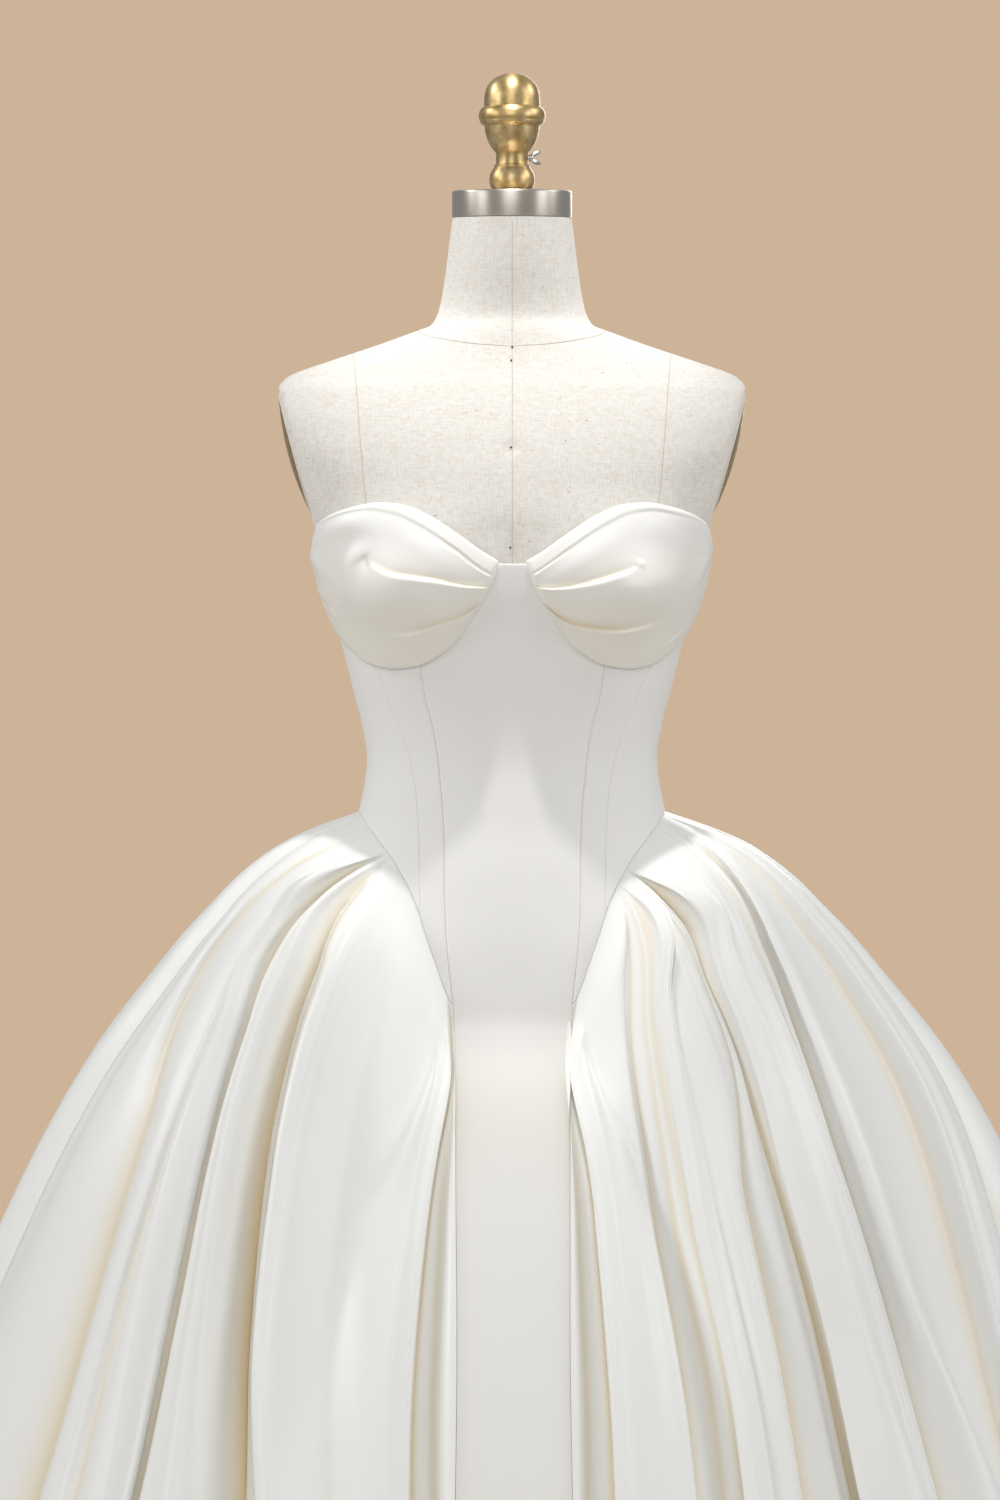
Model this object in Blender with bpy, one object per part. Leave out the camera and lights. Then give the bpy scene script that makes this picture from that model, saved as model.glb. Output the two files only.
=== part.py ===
"""Strapless satin ball gown on a linen-covered dress form, at its real size.

Metres, +Z up, the front faces -Y. The origin is on the floor, in the middle of the underside of the
stand's base. An angle is measured round the upright axis from centre front, in degrees, positive
towards +X. The gown's pieces are thin walls worked out from the form's sections: the bodice lies on
the form, the cups lie on the bodice, and the skirt falls from the dropped, V-shaped waist seam to the
floor in deep, uneven pleats.
"""

import math

import bmesh
import bpy
import numpy as np
from mathutils import Matrix, Vector

# ---------------------------------------------------------------- driving dimensions
EASE = 0.0009  # between the form's linen and the inside of the bodice
CLOTH_WALL = 0.0020  # satin, its underlining and the turned seams
CUP_WALL = 0.0030  # gathered satin over a moulded cup
CUP_LIFT = 0.0009  # the cup's rim lies over the panels' laps, and both are faceted
SEAM_GAP = 0.0003
HEM_RADIUS = 0.682
HEM_SWING = 0.012  # the hem reaches this much further on the +X side, and less on the other
V_FOOT_ANGLE = 22.4  # half the front panel, at the foot of the V
FLARE_TURN = 25  # degrees over which the front panel's flare turns into the sides' fuller one
BUST_ANGLE, BUST_SPREAD = 36, 21
BUST_HEIGHT, BUST_DROP = 1.212, 0.042
BUST_DEPTH = 0.021
NECK_TILT = math.radians(6.5)  # the top of the neck leans to the front
NECK_TILT_FROM, NECK_TOP = 1.447, 1.5195
ARMHOLE_FOOT, ARMHOLE_REACH = 1.278, 0.1634  # lowest point of the flat armhole, and how far out it lies
ARMHOLE_SLOPE = 0.2667
CAP_RADIUS, CAP_HEIGHT, CAP_ROUND = 0.0488, 0.0215, 0.0018
POLE_RADIUS = 0.0140
BASE_RADIUS = 0.190
SCREW_HEIGHT, SCREW_RADIUS, SCREW_PLAY = 0.0486, 0.0021, 0.0003  # height above the neck's top face
SLIDER_HEIGHT = 1.190  # the zip's slider, on the centre-back seam
SLIDER_LIFT = 0.0006  # the slider rides clear of the satin on the zip's coil
TAB_AXIS_OUT = 0.0023  # the pull tab's crossbar, from the slider's back plate
SIDE_SEAM = 97  # degrees

# The form: height, half-width, front depth, back depth, squareness, shift of the section to the back
FORM = np.array([
    (0.740, 0.1500, 0.1050, 0.1220, 2.40, 0.000),
    (0.800, 0.1650, 0.1120, 0.1320, 2.40, 0.000),
    (0.860, 0.1700, 0.1150, 0.1340, 2.40, 0.000),
    (0.920, 0.1580, 0.1120, 0.1220, 2.30, 0.000),
    (0.980, 0.1395, 0.1035, 0.1040, 2.25, 0.000),
    (1.032, 0.1228, 0.0935, 0.0880, 2.20, 0.000),
    (1.080, 0.1155, 0.0885, 0.0800, 2.20, 0.000),
    (1.103, 0.1190, 0.0895, 0.0810, 2.20, 0.000),
    (1.135, 0.1270, 0.0940, 0.0850, 2.20, 0.000),
    (1.175, 0.1370, 0.1000, 0.0920, 2.25, 0.000),
    (1.215, 0.1490, 0.1050, 0.1000, 2.35, 0.000),
    (1.265, 0.1610, 0.1070, 0.1070, 2.40, 0.000),
    (1.300, 0.1800, 0.1020, 0.1080, 2.25, 0.000),
    (1.330, 0.1950, 0.0940, 0.1060, 2.20, 0.000),
    (1.355, 0.2000, 0.0850, 0.0990, 2.15, 0.000),
    (1.374, 0.1960, 0.0770, 0.0910, 2.10, 0.000),
    (1.389, 0.1840, 0.0705, 0.0830, 2.00, 0.001),
    (1.402, 0.1500, 0.0660, 0.0760, 2.00, 0.002),
    (1.414, 0.1140, 0.0630, 0.0705, 2.00, 0.003),
    (1.424, 0.0860, 0.0600, 0.0660, 2.00, 0.003),
    (1.432, 0.0660, 0.0570, 0.0610, 2.00, 0.003),
    (1.447, 0.0590, 0.0540, 0.0560, 2.00, 0.001),
    (1.476, 0.0540, 0.0520, 0.0520, 2.00, -0.003),
    (1.520, 0.0486, 0.0486, 0.0486, 2.00, -0.008),
])

# Waist seam, from the foot of the V at the front round to centre back: angle, height
WAIST_SEAM = np.array([
    (0.0, 0.885), (V_FOOT_ANGLE, 0.885), (25.2, 0.896), (29.5, 0.9196), (33.0, 0.9376), (36.9, 0.957),
    (43.0, 0.979), (52.1, 1.0006), (58.2, 1.010), (65.5, 1.020), (79.8, 1.032), (95.0, 1.035),
    (140.0, 1.030), (180.0, 1.022),
])
# Upper edge of the bodice under and beyond the cups: angle, height
NECKLINE = np.array([
    (0.0, 1.232), (5.4, 1.232), (12.9, 1.238), (20.0, 1.248), (31.0, 1.263), (40.0, 1.2715),
    (48.5, 1.2735), (57.0, 1.2715), (65.0, 1.268), (73.7, 1.264), (90.0, 1.254), (97.0, 1.2475),
    (110.0, 1.236), (140.0, 1.214), (180.0, 1.205),
])
# Bodice seams: height, angle of the front panel's edge, of the side front's edge
BODICE_SEAMS = np.array([
    (0.885, V_FOOT_ANGLE, 30.0), (0.920, 24.7, 34.0), (0.951, 26.6, 36.0), (0.967, 27.5, 36.9),
    (1.003, 29.6, 39.9), (1.024, 31.2, 42.2), (1.045, 33.0, 44.5), (1.062, 34.8, 46.8),
    (1.083, 36.4, 50.5), (1.103, 37.9, 53.6), (1.130, 40.0, 57.4), (1.1515, 40.0, 60.6),
    (1.160, 33.0, 61.2), (1.171, 26.0, 61.8), (1.184, 20.5, 62.4), (1.199, 15.5, 63.0),
    (1.211, 12.0, 63.5), (1.221, 9.5, 64.0), (1.235, 7.5, 64.5),
])
# Upper edge of the side front and side panels: angle, height
SIDE_TOP = np.array([
    (30.0, 1.1585), (40.0, 1.1585), (50.0, 1.1565), (56.0, 1.1585), (62.0, 1.170), (68.0, 1.196),
    (73.0, 1.230), (78.0, 1.2590), (82.0, 1.2605), (90.0, 1.254), (97.0, 1.2475),
])
# Cup, the four sides of its patch, each from the end by centre front or from below: angle, height
CUP_INNER = np.array([(12.4, 1.199), (9.2, 1.211), (7.0, 1.221), (5.4, 1.2335)])
CUP_BOTTOM = np.array([
    (12.4, 1.199), (17.8, 1.1836), (22.9, 1.171), (30.0, 1.160), (40.0, 1.1515), (50.0, 1.1495),
    (57.0, 1.1515), (64.4, 1.157), (70.7, 1.1655), (78.0, 1.177),
])
CUP_TOP = np.array([
    (5.4, 1.2335), (12.9, 1.243), (20.0, 1.254), (31.2, 1.270), (40.6, 1.279), (48.5, 1.281),
    (56.8, 1.278), (65.0, 1.2725), (72.0, 1.2665),
])
CUP_OUTER = np.array([(78.0, 1.177), (83.0, 1.195), (85.5, 1.217), (83.5, 1.242), (72.0, 1.2665)])

# Cup pleats: height share at the inner edge and at its far end, width, depth in metres, reach
CUP_PLEATS = [
    (0.96, 0.97, 0.050, 0.0020, 1.00),
    (0.80, 0.86, 0.055, 0.0018, 0.75),
    (0.52, 0.58, 0.045, -0.0030, 0.85),
    (0.40, 0.46, 0.070, 0.0022, 0.80),
    (0.24, 0.26, 0.045, -0.0026, 0.80),
]
# Skirt flare: share of the height below the seam, share of the way out to the hem, front and sides
FLARE = np.array([
    (0.000, 0.000, 0.000), (0.017, 0.016, 0.070), (0.040, 0.055, 0.135), (0.073, 0.115, 0.198),
    (0.119, 0.190, 0.272), (0.186, 0.303, 0.368), (0.254, 0.398, 0.442), (0.322, 0.480, 0.503),
    (0.435, 0.595, 0.596), (0.661, 0.772, 0.772), (1.000, 1.000, 1.000),
])
# Width of the front panel in the skirt: share of the height below the seam, against its width there
PANEL = np.array([(0.0, 1.0), (0.12, 0.93), (0.30, 0.87), (0.45, 0.90), (1.0, 1.20)])

# Pleats. Each row is a ridge or a valley that runs from the waist seam to the hem: its name, its angle
# at each share of the height in LINE_LEVELS, and how far it stands out from the flare, in
# millimetres, at each share in RISE_LEVELS. A valley whose angle passes its ridge's is undercut.
LINE_LEVELS = (0.0, 0.04, 0.12, 0.25, 0.45, 1.0)
RISE_LEVELS = (0.0, 0.06, 0.25, 1.0)
RIGHT_PLEATS = [
    ("panel_strip_floor", 23.8, 19.4, 14.6, 12.5, 10.8, 9.8, -1, -14, -18),
    ("panel_pleat_edge", 26.0, 22.2, 17.4, 15.2, 13.4, 12.3, 9, 20, 18),
    ("panel_pleat_crown", 31.0, 25.0, 19.8, 17.4, 15.8, 14.6, 12, 17, 16),
    ("head_pleat_edge", 39.0, 28.0, 21.8, 18.8, 17.3, 16.2, 10, 12, 12),
    ("head_valley_floor", 41.0, 31.5, 24.6, 21.2, 20.3, 18.9, -13, -22, -22),
    ("third_pleat_edge", 43.0, 35.5, 28.4, 25.5, 24.8, 23.2, 10, 16, 18),
    ("third_pleat_crown", 44.5, 40.6, 35.9, 29.8, 27.6, 26.2, 13, 20, 18),
    ("third_valley_floor", 46.0, 43.8, 38.2, 31.4, 29.8, 28.6, -9, -15, -18),
    ("narrow_pleat_crown", 49.0, 45.3, 39.2, 33.4, 31.8, 30.8, -4, 4, 12),
    ("flap_underside", 57.6, 48.3, 40.6, 37.0, 35.2, 33.6, -14, -17, -16),
    ("flap_edge", 57.2, 47.6, 40.6, 37.4, 35.6, 34.2, 14, 12, 10),
    ("flap_crown", 65.0, 52.5, 44.2, 40.6, 39.6, 37.6, 24, 27, 20),
    ("flap_valley_floor", 75.0, 61.0, 50.3, 42.9, 41.3, 39.4, -12, -26, -22),
    ("strip_pleat_crown", 78.5, 64.0, 54.0, 45.4, 43.4, 41.4, -2, -2, -2),
    ("fifth_pleat_crown", 81.0, 69.0, 60.4, 52.5, 48.0, 45.8, 14, 21, 20),
    ("wide_hollow", 83.5, 73.0, 66.0, 58.0, 50.8, 49.2, 0, -6, -10),
    ("sixth_pleat_crown", 86.0, 77.5, 72.0, 63.0, 53.8, 52.8, 14, 18, 20),
    ("sixth_valley_floor", 88.5, 82.0, 77.5, 68.5, 58.0, 57.0, 0, -8, -16),
    ("seventh_pleat_crown", 91.5, 87.0, 83.5, 75.5, 65.0, 63.2, 14, 20, 20),
    ("seventh_valley_floor", 94.0, 91.0, 88.5, 81.5, 71.5, 69.8, -1, -8, -14),
    ("eighth_pleat_crown", 97.0, 95.0, 93.0, 88.0, 79.5, 77.6, 12, 18, 20),
    ("side_hollow", 100.0, 98.5, 97.0, 93.5, 87.5, 85.8, -2, -8, -14),
    ("side_pleat_crown", 103.0, 102.0, 101.0, 98.8, 95.0, 94.0, 12, 20, 20),
    ("side_seam_valley", 106.0, 105.5, 105.0, 104.0, 102.5, 102.0, -6, -16, -18),
    ("back_first_crown", 110.5, 110.5, 111.0, 111.0, 110.5, 110.0, 12, 20, 22),
    ("back_first_valley", 116.5, 117.0, 118.0, 119.0, 118.5, 118.0, -8, -18, -20),
    ("back_second_crown", 121.5, 122.5, 124.5, 125.5, 125.0, 124.8, 14, 24, 20),
    ("back_second_shoulder", 127.0, 129.0, 131.5, 132.5, 132.5, 132.0, 10, 14, 12),
    ("back_second_valley", 132.0, 134.0, 136.0, 137.5, 138.0, 138.5, -10, -22, -20),
    ("back_third_crown", 137.5, 139.5, 141.5, 143.5, 144.5, 145.5, 12, 20, 18),
    ("back_third_valley", 145.0, 146.5, 148.0, 149.5, 151.5, 152.5, -9, -16, -18),
    ("back_fourth_crown", 151.0, 152.0, 153.5, 155.5, 158.0, 159.0, 13, 22, 20),
    ("back_fourth_valley", 160.5, 161.0, 162.0, 163.5, 165.5, 166.5, -10, -20, -20),
    ("back_fifth_crown", 168.0, 168.0, 168.5, 169.5, 171.0, 172.0, 10, 16, 16),
]
LEFT_PLEATS = [
    ("panel_strip_floor", 23.8, 19.4, 14.2, 11.4, 9.9, 9.2, -1, -15, -20),
    ("wide_pleat_front_edge", 26.0, 22.2, 17.0, 14.0, 12.4, 11.6, 9, 19, 18),
    ("wide_pleat_dip", 35.0, 28.5, 24.0, 19.5, 17.0, 15.8, 11, 13, 10),
    ("wide_pleat_back_edge", 49.0, 40.4, 34.8, 27.6, 23.0, 20.9, 13, 24, 20),
    ("wide_valley_floor", 50.8, 44.2, 38.4, 31.0, 26.4, 24.4, -14, -27, -24),
    ("deep_pleat_crown", 51.6, 50.6, 45.4, 37.0, 32.6, 30.8, 19, 24, 22),
    ("deep_pleat_edge", 52.2, 53.6, 48.2, 39.4, 35.0, 33.6, 12, 12, 12),
    ("deep_pleat_underside", 52.6, 54.6, 49.2, 40.8, 37.2, 36.0, -20, -27, -20),
    ("thin_pleat_crown", 55.0, 57.4, 52.6, 44.8, 40.6, 39.4, -6, -4, 2),
    ("thin_crease", 58.0, 60.2, 55.0, 47.4, 43.0, 42.0, -12, -9, -6),
    ("second_pleat_crown", 61.0, 63.6, 58.2, 50.6, 46.2, 45.2, 12, 18, 20),
    ("second_valley_floor", 65.0, 67.0, 61.6, 54.6, 50.6, 49.8, -6, -15, -18),
    ("third_hollow", 70.0, 71.0, 65.5, 60.0, 57.0, 56.4, 3, -4, -6),
    ("third_pleat_crown", 75.5, 75.6, 70.4, 67.4, 66.0, 65.2, 14, 18, 18),
    ("third_valley_floor", 80.0, 79.5, 76.0, 74.0, 73.0, 72.6, -3, -8, -14),
    ("fourth_pleat_crown", 85.0, 85.0, 83.0, 82.0, 81.5, 81.2, 10, 15, 18),
    ("fourth_valley_floor", 90.5, 91.0, 90.0, 89.5, 89.5, 89.5, -4, -10, -14),
    ("side_pleat_crown", 97.0, 97.5, 97.5, 98.0, 98.0, 98.0, 12, 18, 20),
    ("side_seam_valley", 103.0, 104.0, 104.5, 105.0, 105.5, 105.0, -7, -17, -18),
    ("back_first_crown", 109.0, 110.5, 111.5, 112.5, 113.0, 112.0, 13, 22, 20),
    ("back_first_shoulder", 114.0, 116.0, 117.5, 119.0, 119.5, 119.0, 8, 12, 12),
    ("back_first_valley", 119.0, 120.5, 122.0, 123.5, 125.0, 125.5, -9, -20, -20),
    ("back_second_crown", 126.0, 127.5, 129.0, 130.5, 132.0, 133.0, 12, 20, 18),
    ("back_second_valley", 134.5, 135.5, 136.5, 138.0, 139.5, 141.0, -8, -15, -18),
    ("back_third_crown", 141.0, 142.0, 143.5, 145.0, 146.5, 148.0, 14, 24, 22),
    ("back_third_valley", 150.0, 151.0, 152.0, 153.5, 155.0, 156.0, -10, -22, -20),
    ("back_fourth_crown", 158.0, 158.5, 159.5, 161.0, 162.0, 163.5, 11, 18, 18),
    ("back_fourth_valley", 167.0, 167.5, 168.0, 169.0, 170.5, 172.0, -8, -14, -14),
]
CENTRE_BACK_RISE = (6, 8, 10)
NOSE = 0.8  # how far a pleat's rounded edge swells, as a share of its depth

# Finial, turned brass: height above the neck's top face, radius
FINIAL = [
    (0.0221, 0.0000), (0.0221, 0.0150), (0.0241, 0.0168), (0.0296, 0.0186), (0.0346, 0.0182),
    (0.0391, 0.0162), (0.0426, 0.0138), (0.0446, 0.0131), (0.0521, 0.0131), (0.0561, 0.0163),
    (0.0616, 0.0195), (0.0676, 0.0216), (0.0746, 0.0227), (0.0756, 0.0250), (0.0786, 0.0268),
    (0.0823, 0.0272), (0.0860, 0.0266), (0.0886, 0.0246), (0.0896, 0.0229), (0.0956, 0.0227),
    (0.1011, 0.0215), (0.1076, 0.0180), (0.1131, 0.0118), (0.1156, 0.0060), (0.1164, 0.0000),
]
# Base of the stand, turned cast iron: height, radius
BASE = [
    (0.0000, 0.0000), (0.0000, BASE_RADIUS - 0.002), (0.0020, BASE_RADIUS), (0.0090, BASE_RADIUS),
    (0.0120, BASE_RADIUS - 0.004), (0.0200, 0.0600), (0.0260, 0.0300), (0.0700, 0.0240),
    (0.0730, 0.0210), (0.0730, 0.0000),
]

# How finely the walls are divided
SKIRT_ROWS = (0.0, 0.012, 0.035, 0.075, 0.13, 0.21, 0.31, 0.44, 0.60, 0.80, 1.0)
SPANS_PER_LINE = 2
NECK_ROWS = np.array([1.232, 1.222, 1.212, 1.201, 1.190, 1.178, 1.167])  # between the cups
LAP_ROW = 1.1585
BODICE_LEVELS = np.array([0.0, 0.12, 0.25, 0.38, 0.51, 0.64, 0.77, 0.89, 1.0])
V_SHOULDER = 84  # beyond this angle the waist seam runs nearly level, and the bodice needs fewer points
PANEL_COLUMNS = 12


# ---------------------------------------------------------------- curves and surfaces
def through(table, column, at):
    """A smooth curve through one column of a table, by its first column, that never overshoots."""
    xs, ys = table[:, 0], table[:, column]
    at = np.asarray(at, float)
    step = np.diff(xs)
    slope = np.diff(ys) / step
    tangent = np.zeros_like(ys)
    tangent[0], tangent[-1] = slope[0], slope[-1]
    product = slope[:-1] * slope[1:]
    total = np.where(product > 0, slope[:-1] + slope[1:], 1.0)
    tangent[1:-1] = np.where(product > 0, 2 * product / total, 0.0)
    i = np.clip(np.searchsorted(xs, at, side="right") - 1, 0, len(step) - 1)
    s = (np.clip(at, xs[0], xs[-1]) - xs[i]) / step[i]
    return (
        ys[i] * (1 + 2 * s) * (1 - s) ** 2
        + step[i] * tangent[i] * s * (1 - s) ** 2
        + ys[i + 1] * s * s * (3 - 2 * s)
        + step[i] * tangent[i + 1] * s * s * (s - 1)
    )


def smooth_step(s):
    s = np.clip(s, 0.0, 1.0)
    return s * s * (3 - 2 * s)


def form_radius(angle, height):
    """How far the form's surface lies from its axis."""
    turn = np.radians(angle)
    half_width = through(FORM, 1, height)
    depth = np.where(np.cos(turn) > 0, through(FORM, 2, height), through(FORM, 3, height))
    power = through(FORM, 4, height)
    ways = np.abs(np.sin(turn) / half_width) ** power + np.abs(np.cos(turn) / depth) ** power
    bust = np.exp(
        -(((np.abs(angle) - BUST_ANGLE) / BUST_SPREAD) ** 2) - ((height - BUST_HEIGHT) / BUST_DROP) ** 2
    )
    return ways ** (-1 / power) + BUST_DEPTH * bust


def at_polar(angle, radius, height):
    turn = np.radians(angle)
    return np.stack(np.broadcast_arrays(radius * np.sin(turn), -radius * np.cos(turn), height), -1)


def waist_height(angle):
    return through(WAIST_SEAM, 1, np.abs(angle))


def flare_radius(angle, share):
    """The skirt's radius before its pleats, at a share of the way from the waist seam to the hem."""
    seam = form_radius(angle, waist_height(angle)) + EASE + CLOTH_WALL
    side = smooth_step((np.abs(angle) - V_FOOT_ANGLE * (1 - share)) / FLARE_TURN)
    reach = through(FLARE, 1, share) * (1 - side) + through(FLARE, 2, share) * side
    hem = HEM_RADIUS + HEM_SWING * np.sin(np.radians(angle))
    return seam + (hem - seam) * reach


def panel_edge_angle(share):
    """Angle of the front panel's edge in the skirt."""
    foot = V_FOOT_ANGLE + 0 * share
    half_width = flare_radius(foot, 0 * share) * np.sin(np.radians(foot)) * through(PANEL, 1, share)
    angle = foot
    for _ in range(30):
        angle = np.degrees(np.arcsin(half_width / flare_radius(angle, share)))
    return angle


def pleat_lines(share):
    """Angle and radius of every ridge and valley, from centre back round the front to centre back."""
    edge = panel_edge_angle(share)
    half = {}
    for side, table in ((-1, LEFT_PLEATS), (1, RIGHT_PLEATS)):
        lines = [(edge * side, flare_radius(edge * side, share))]
        back = ("centre_back", *(180.0,) * len(LINE_LEVELS), *CENTRE_BACK_RISE)
        for row in [*table, back]:
            angle = side * through(np.array([LINE_LEVELS, row[1:7]]).T, 1, share)
            rise = through(np.array([RISE_LEVELS, (0, *row[7:])]).T, 1, share) / 1000
            lines.append((angle, flare_radius(angle, share) + rise))
        half[side] = lines
    front = (0 * share, flare_radius(0 * share, share))
    ring = half[-1][::-1] + [front] + half[1]
    return np.array([line[0] for line in ring]), np.array([line[1] for line in ring])


FRONT_LINE = len(LEFT_PLEATS) + 2  # place of centre front in the ring of lines
LINE_COUNT = len(LEFT_PLEATS) + len(RIGHT_PLEATS) + 5


def line_place(side, name):
    """Place of a named ridge or valley in the ring of lines."""
    names = [row[0] for row in (LEFT_PLEATS if side < 0 else RIGHT_PLEATS)]
    return FRONT_LINE + side * (names.index(name) + 2)


def skirt_surface(place, share):
    """Points on the skirt's outer face: a row for each share, a column for each place in the ring.

    Between two lines the cloth runs in an S that leaves both square to the radius, so that a pleat's
    edge is rounded, and swells past its own foot where the foot is tucked under it.
    """
    angles, radii = pleat_lines(share)
    i = np.clip(np.floor(place).astype(int), 0, LINE_COUNT - 2)
    s = (place - i)[None]
    start, turn = angles[i].T, (angles[i + 1] - angles[i]).T
    low, climb = radii[i].T, (radii[i + 1] - radii[i]).T
    swell = np.maximum(turn, np.degrees(NOSE * np.abs(climb) / low))
    angle = start + turn * smooth_step(s) + swell * s * (1 - s) * (1 - 2 * s)
    radius = low + climb * smooth_step(s)
    return at_polar(angle, radius, waist_height(angle) * (1 - share[:, None]))


# ---------------------------------------------------------------- walls and meshes
def unit(vectors):
    return vectors / np.linalg.norm(vectors, axis=-1, keepdims=True)


def skirt_wall(places, shares):
    """The skirt's outer and inner points. At the waist seam the wall stands square to the bodice's."""
    step = 0.02
    outer = skirt_surface(places, shares)
    ends = [np.clip(shares + d, 0, 1) for d in (-step * 0.2, step * 0.2)]
    down = skirt_surface(places, ends[1]) - skirt_surface(places, ends[0])
    along = skirt_surface(places + step, shares) - skirt_surface(places - step, shares)
    normal = unit(np.cross(along, -down))
    level = unit(outer * (1, 1, 0))
    settle = smooth_step(shares / 0.03)[:, None, None]
    normal = unit(level * (1 - settle) + normal * settle)
    hem = smooth_step((shares - 0.9) / 0.1)[:, None, None]
    normal = unit(normal * (1, 1, 0) * hem + normal * (1 - hem))
    return outer, outer - CLOTH_WALL * normal


def bodice_wall(angle, height):
    radius = form_radius(angle, height) + EASE
    return at_polar(angle, radius + CLOTH_WALL, height), at_polar(angle, radius, height)


def part_edges(faces, sides):
    """Draws the named sides of a wall in by half a seam's gap: the ends of its rows and columns."""
    parted = []
    for points in faces:
        points = points.copy()
        if "first_column" in sides:
            points[:, 0] += unit(points[:, 1] - points[:, 0]) * SEAM_GAP / 2
        if "last_column" in sides:
            points[:, -1] += unit(points[:, -2] - points[:, -1]) * SEAM_GAP / 2
        if "top" in sides:
            points[0, :, 2] -= SEAM_GAP / 2
        if "foot" in sides:
            points[-1, :, 2] += SEAM_GAP / 2
        parted.append(points)
    return parted


def material(name, colour, roughness, metallic=0.0):
    made = bpy.data.materials.new(name)
    made.use_nodes = True
    shader = made.node_tree.nodes["Principled BSDF"]
    shader.inputs["Base Color"].default_value = (*colour, 1.0)
    shader.inputs["Roughness"].default_value = roughness
    shader.inputs["Metallic"].default_value = metallic
    return made


def new_object(name, mesh_data, finish, smooth=40):
    """Links a bmesh as an object, with its faces turned outwards and its round stretches smooth."""
    bmesh.ops.recalc_face_normals(mesh_data, faces=mesh_data.faces)
    mesh = bpy.data.meshes.new(name)
    mesh_data.to_mesh(mesh)
    mesh_data.free()
    mesh.shade_smooth()
    mesh.set_sharp_from_angle(angle=math.radians(smooth))
    mesh.materials.append(finish)
    made = bpy.data.objects.new(name, mesh)
    bpy.context.scene.collection.objects.link(made)
    return made


def add_wall(name, outer, inner, finish):
    """A closed wall between two grids of points, rimmed all round."""
    rows, columns = outer.shape[:2]
    data = bmesh.new()
    grids = [[[data.verts.new(p) for p in row] for row in face] for face in (outer, inner)]
    for grid in grids:
        for i in range(rows - 1):
            for j in range(columns - 1):
                data.faces.new((grid[i][j], grid[i][j + 1], grid[i + 1][j + 1], grid[i + 1][j]))
    rim = [(0, j) for j in range(columns)] + [(i, columns - 1) for i in range(1, rows)]
    rim += [(rows - 1, j) for j in range(columns - 2, -1, -1)] + [(i, 0) for i in range(rows - 2, 0, -1)]
    for (i, j), (k, l) in zip(rim, rim[1:] + rim[:1]):
        data.faces.new((grids[0][i][j], grids[0][k][l], grids[1][k][l], grids[1][i][j]))
    return new_object(name, data, finish)


def add_rings(name, rings, finish):
    """A closed body through a stack of rings, each with a flat end cap."""
    data = bmesh.new()
    loops = [[data.verts.new(p) for p in ring] for ring in rings]
    for low, high in zip(loops, loops[1:]):
        for j in range(len(low)):
            k = (j + 1) % len(low)
            data.faces.new((low[j], low[k], high[k], high[j]))
    data.faces.new(loops[0])
    data.faces.new(loops[-1])
    return new_object(name, data, finish)


def add_turned(name, profile, finish, segments=32):
    """A body turned round the upright axis. Its profile starts and ends on that axis."""
    data = bmesh.new()
    chain = [data.verts.new((radius, 0, height)) for height, radius in profile]
    edges = [data.edges.new(pair) for pair in zip(chain, chain[1:])]
    bmesh.ops.spin(
        data, geom=chain + edges, cent=(0, 0, 0), axis=(0, 0, 1),
        angle=math.tau, steps=segments, use_merge=True,
    )
    bmesh.ops.remove_doubles(data, verts=data.verts, dist=1e-5)
    return new_object(name, data, finish, 35)


def add_plate(name, outline, thickness, finish):
    """A flat plate: an outline of points, drawn out along a vector."""
    data = bmesh.new()
    near = [data.verts.new(at) for at in outline]
    far = [data.verts.new(Vector(at) + Vector(thickness)) for at in outline]
    data.faces.new(near)
    data.faces.new(far)
    for i in range(len(near)):
        j = (i + 1) % len(near)
        data.faces.new((near[i], near[j], far[j], far[i]))
    return new_object(name, data, finish, 30)


def put(made, matrix):
    made.matrix_world = matrix


# ---------------------------------------------------------------- the dress form and its stand
def form_section(height, columns):
    """One ring of the form. Its sides are cut flat at the armholes, and its neck leans forward."""
    angle = np.arange(columns) * 360.0 / columns - 180.0
    points = at_polar(angle, form_radius(angle, height), height)
    reach = ARMHOLE_REACH + max(0.0, height - ARMHOLE_FOOT) * ARMHOLE_SLOPE
    points[:, 0] = np.clip(points[:, 0], -reach, reach)
    points[:, 1] += through(FORM, 5, height)
    lean = smooth_step((height - NECK_TILT_FROM) / (NECK_TOP - NECK_TILT_FROM))
    points[:, 2] += points[:, 1] * math.tan(NECK_TILT) * lean
    return points


def neck_frame():
    """The middle of the neck's top face, with +Z square to that face."""
    shift = float(through(FORM, 5, NECK_TOP))
    middle = Vector((0, shift, NECK_TOP + shift * math.tan(NECK_TILT)))
    return Matrix.Translation(middle) @ Matrix.Rotation(NECK_TILT, 4, "X")


def build_form():
    linen = material("linen", (0.86, 0.82, 0.74), 0.85)
    levels = [0.740, 0.790, 0.840, 0.880, 0.915, 0.950, 0.980, 1.005, 1.025, 1.042, 1.057, 1.070]
    levels += [1.082, 1.095, 1.110, 1.130, 1.150, 1.168, 1.188, 1.210, 1.232, 1.252, 1.278, 1.292]
    levels += [1.312, 1.335, 1.355, 1.372, 1.384, 1.394, 1.404, 1.414, 1.424, 1.432, 1.447, 1.476]
    levels += [NECK_TOP]
    add_rings("form_torso", [form_section(z, 40) for z in levels], linen)


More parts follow.
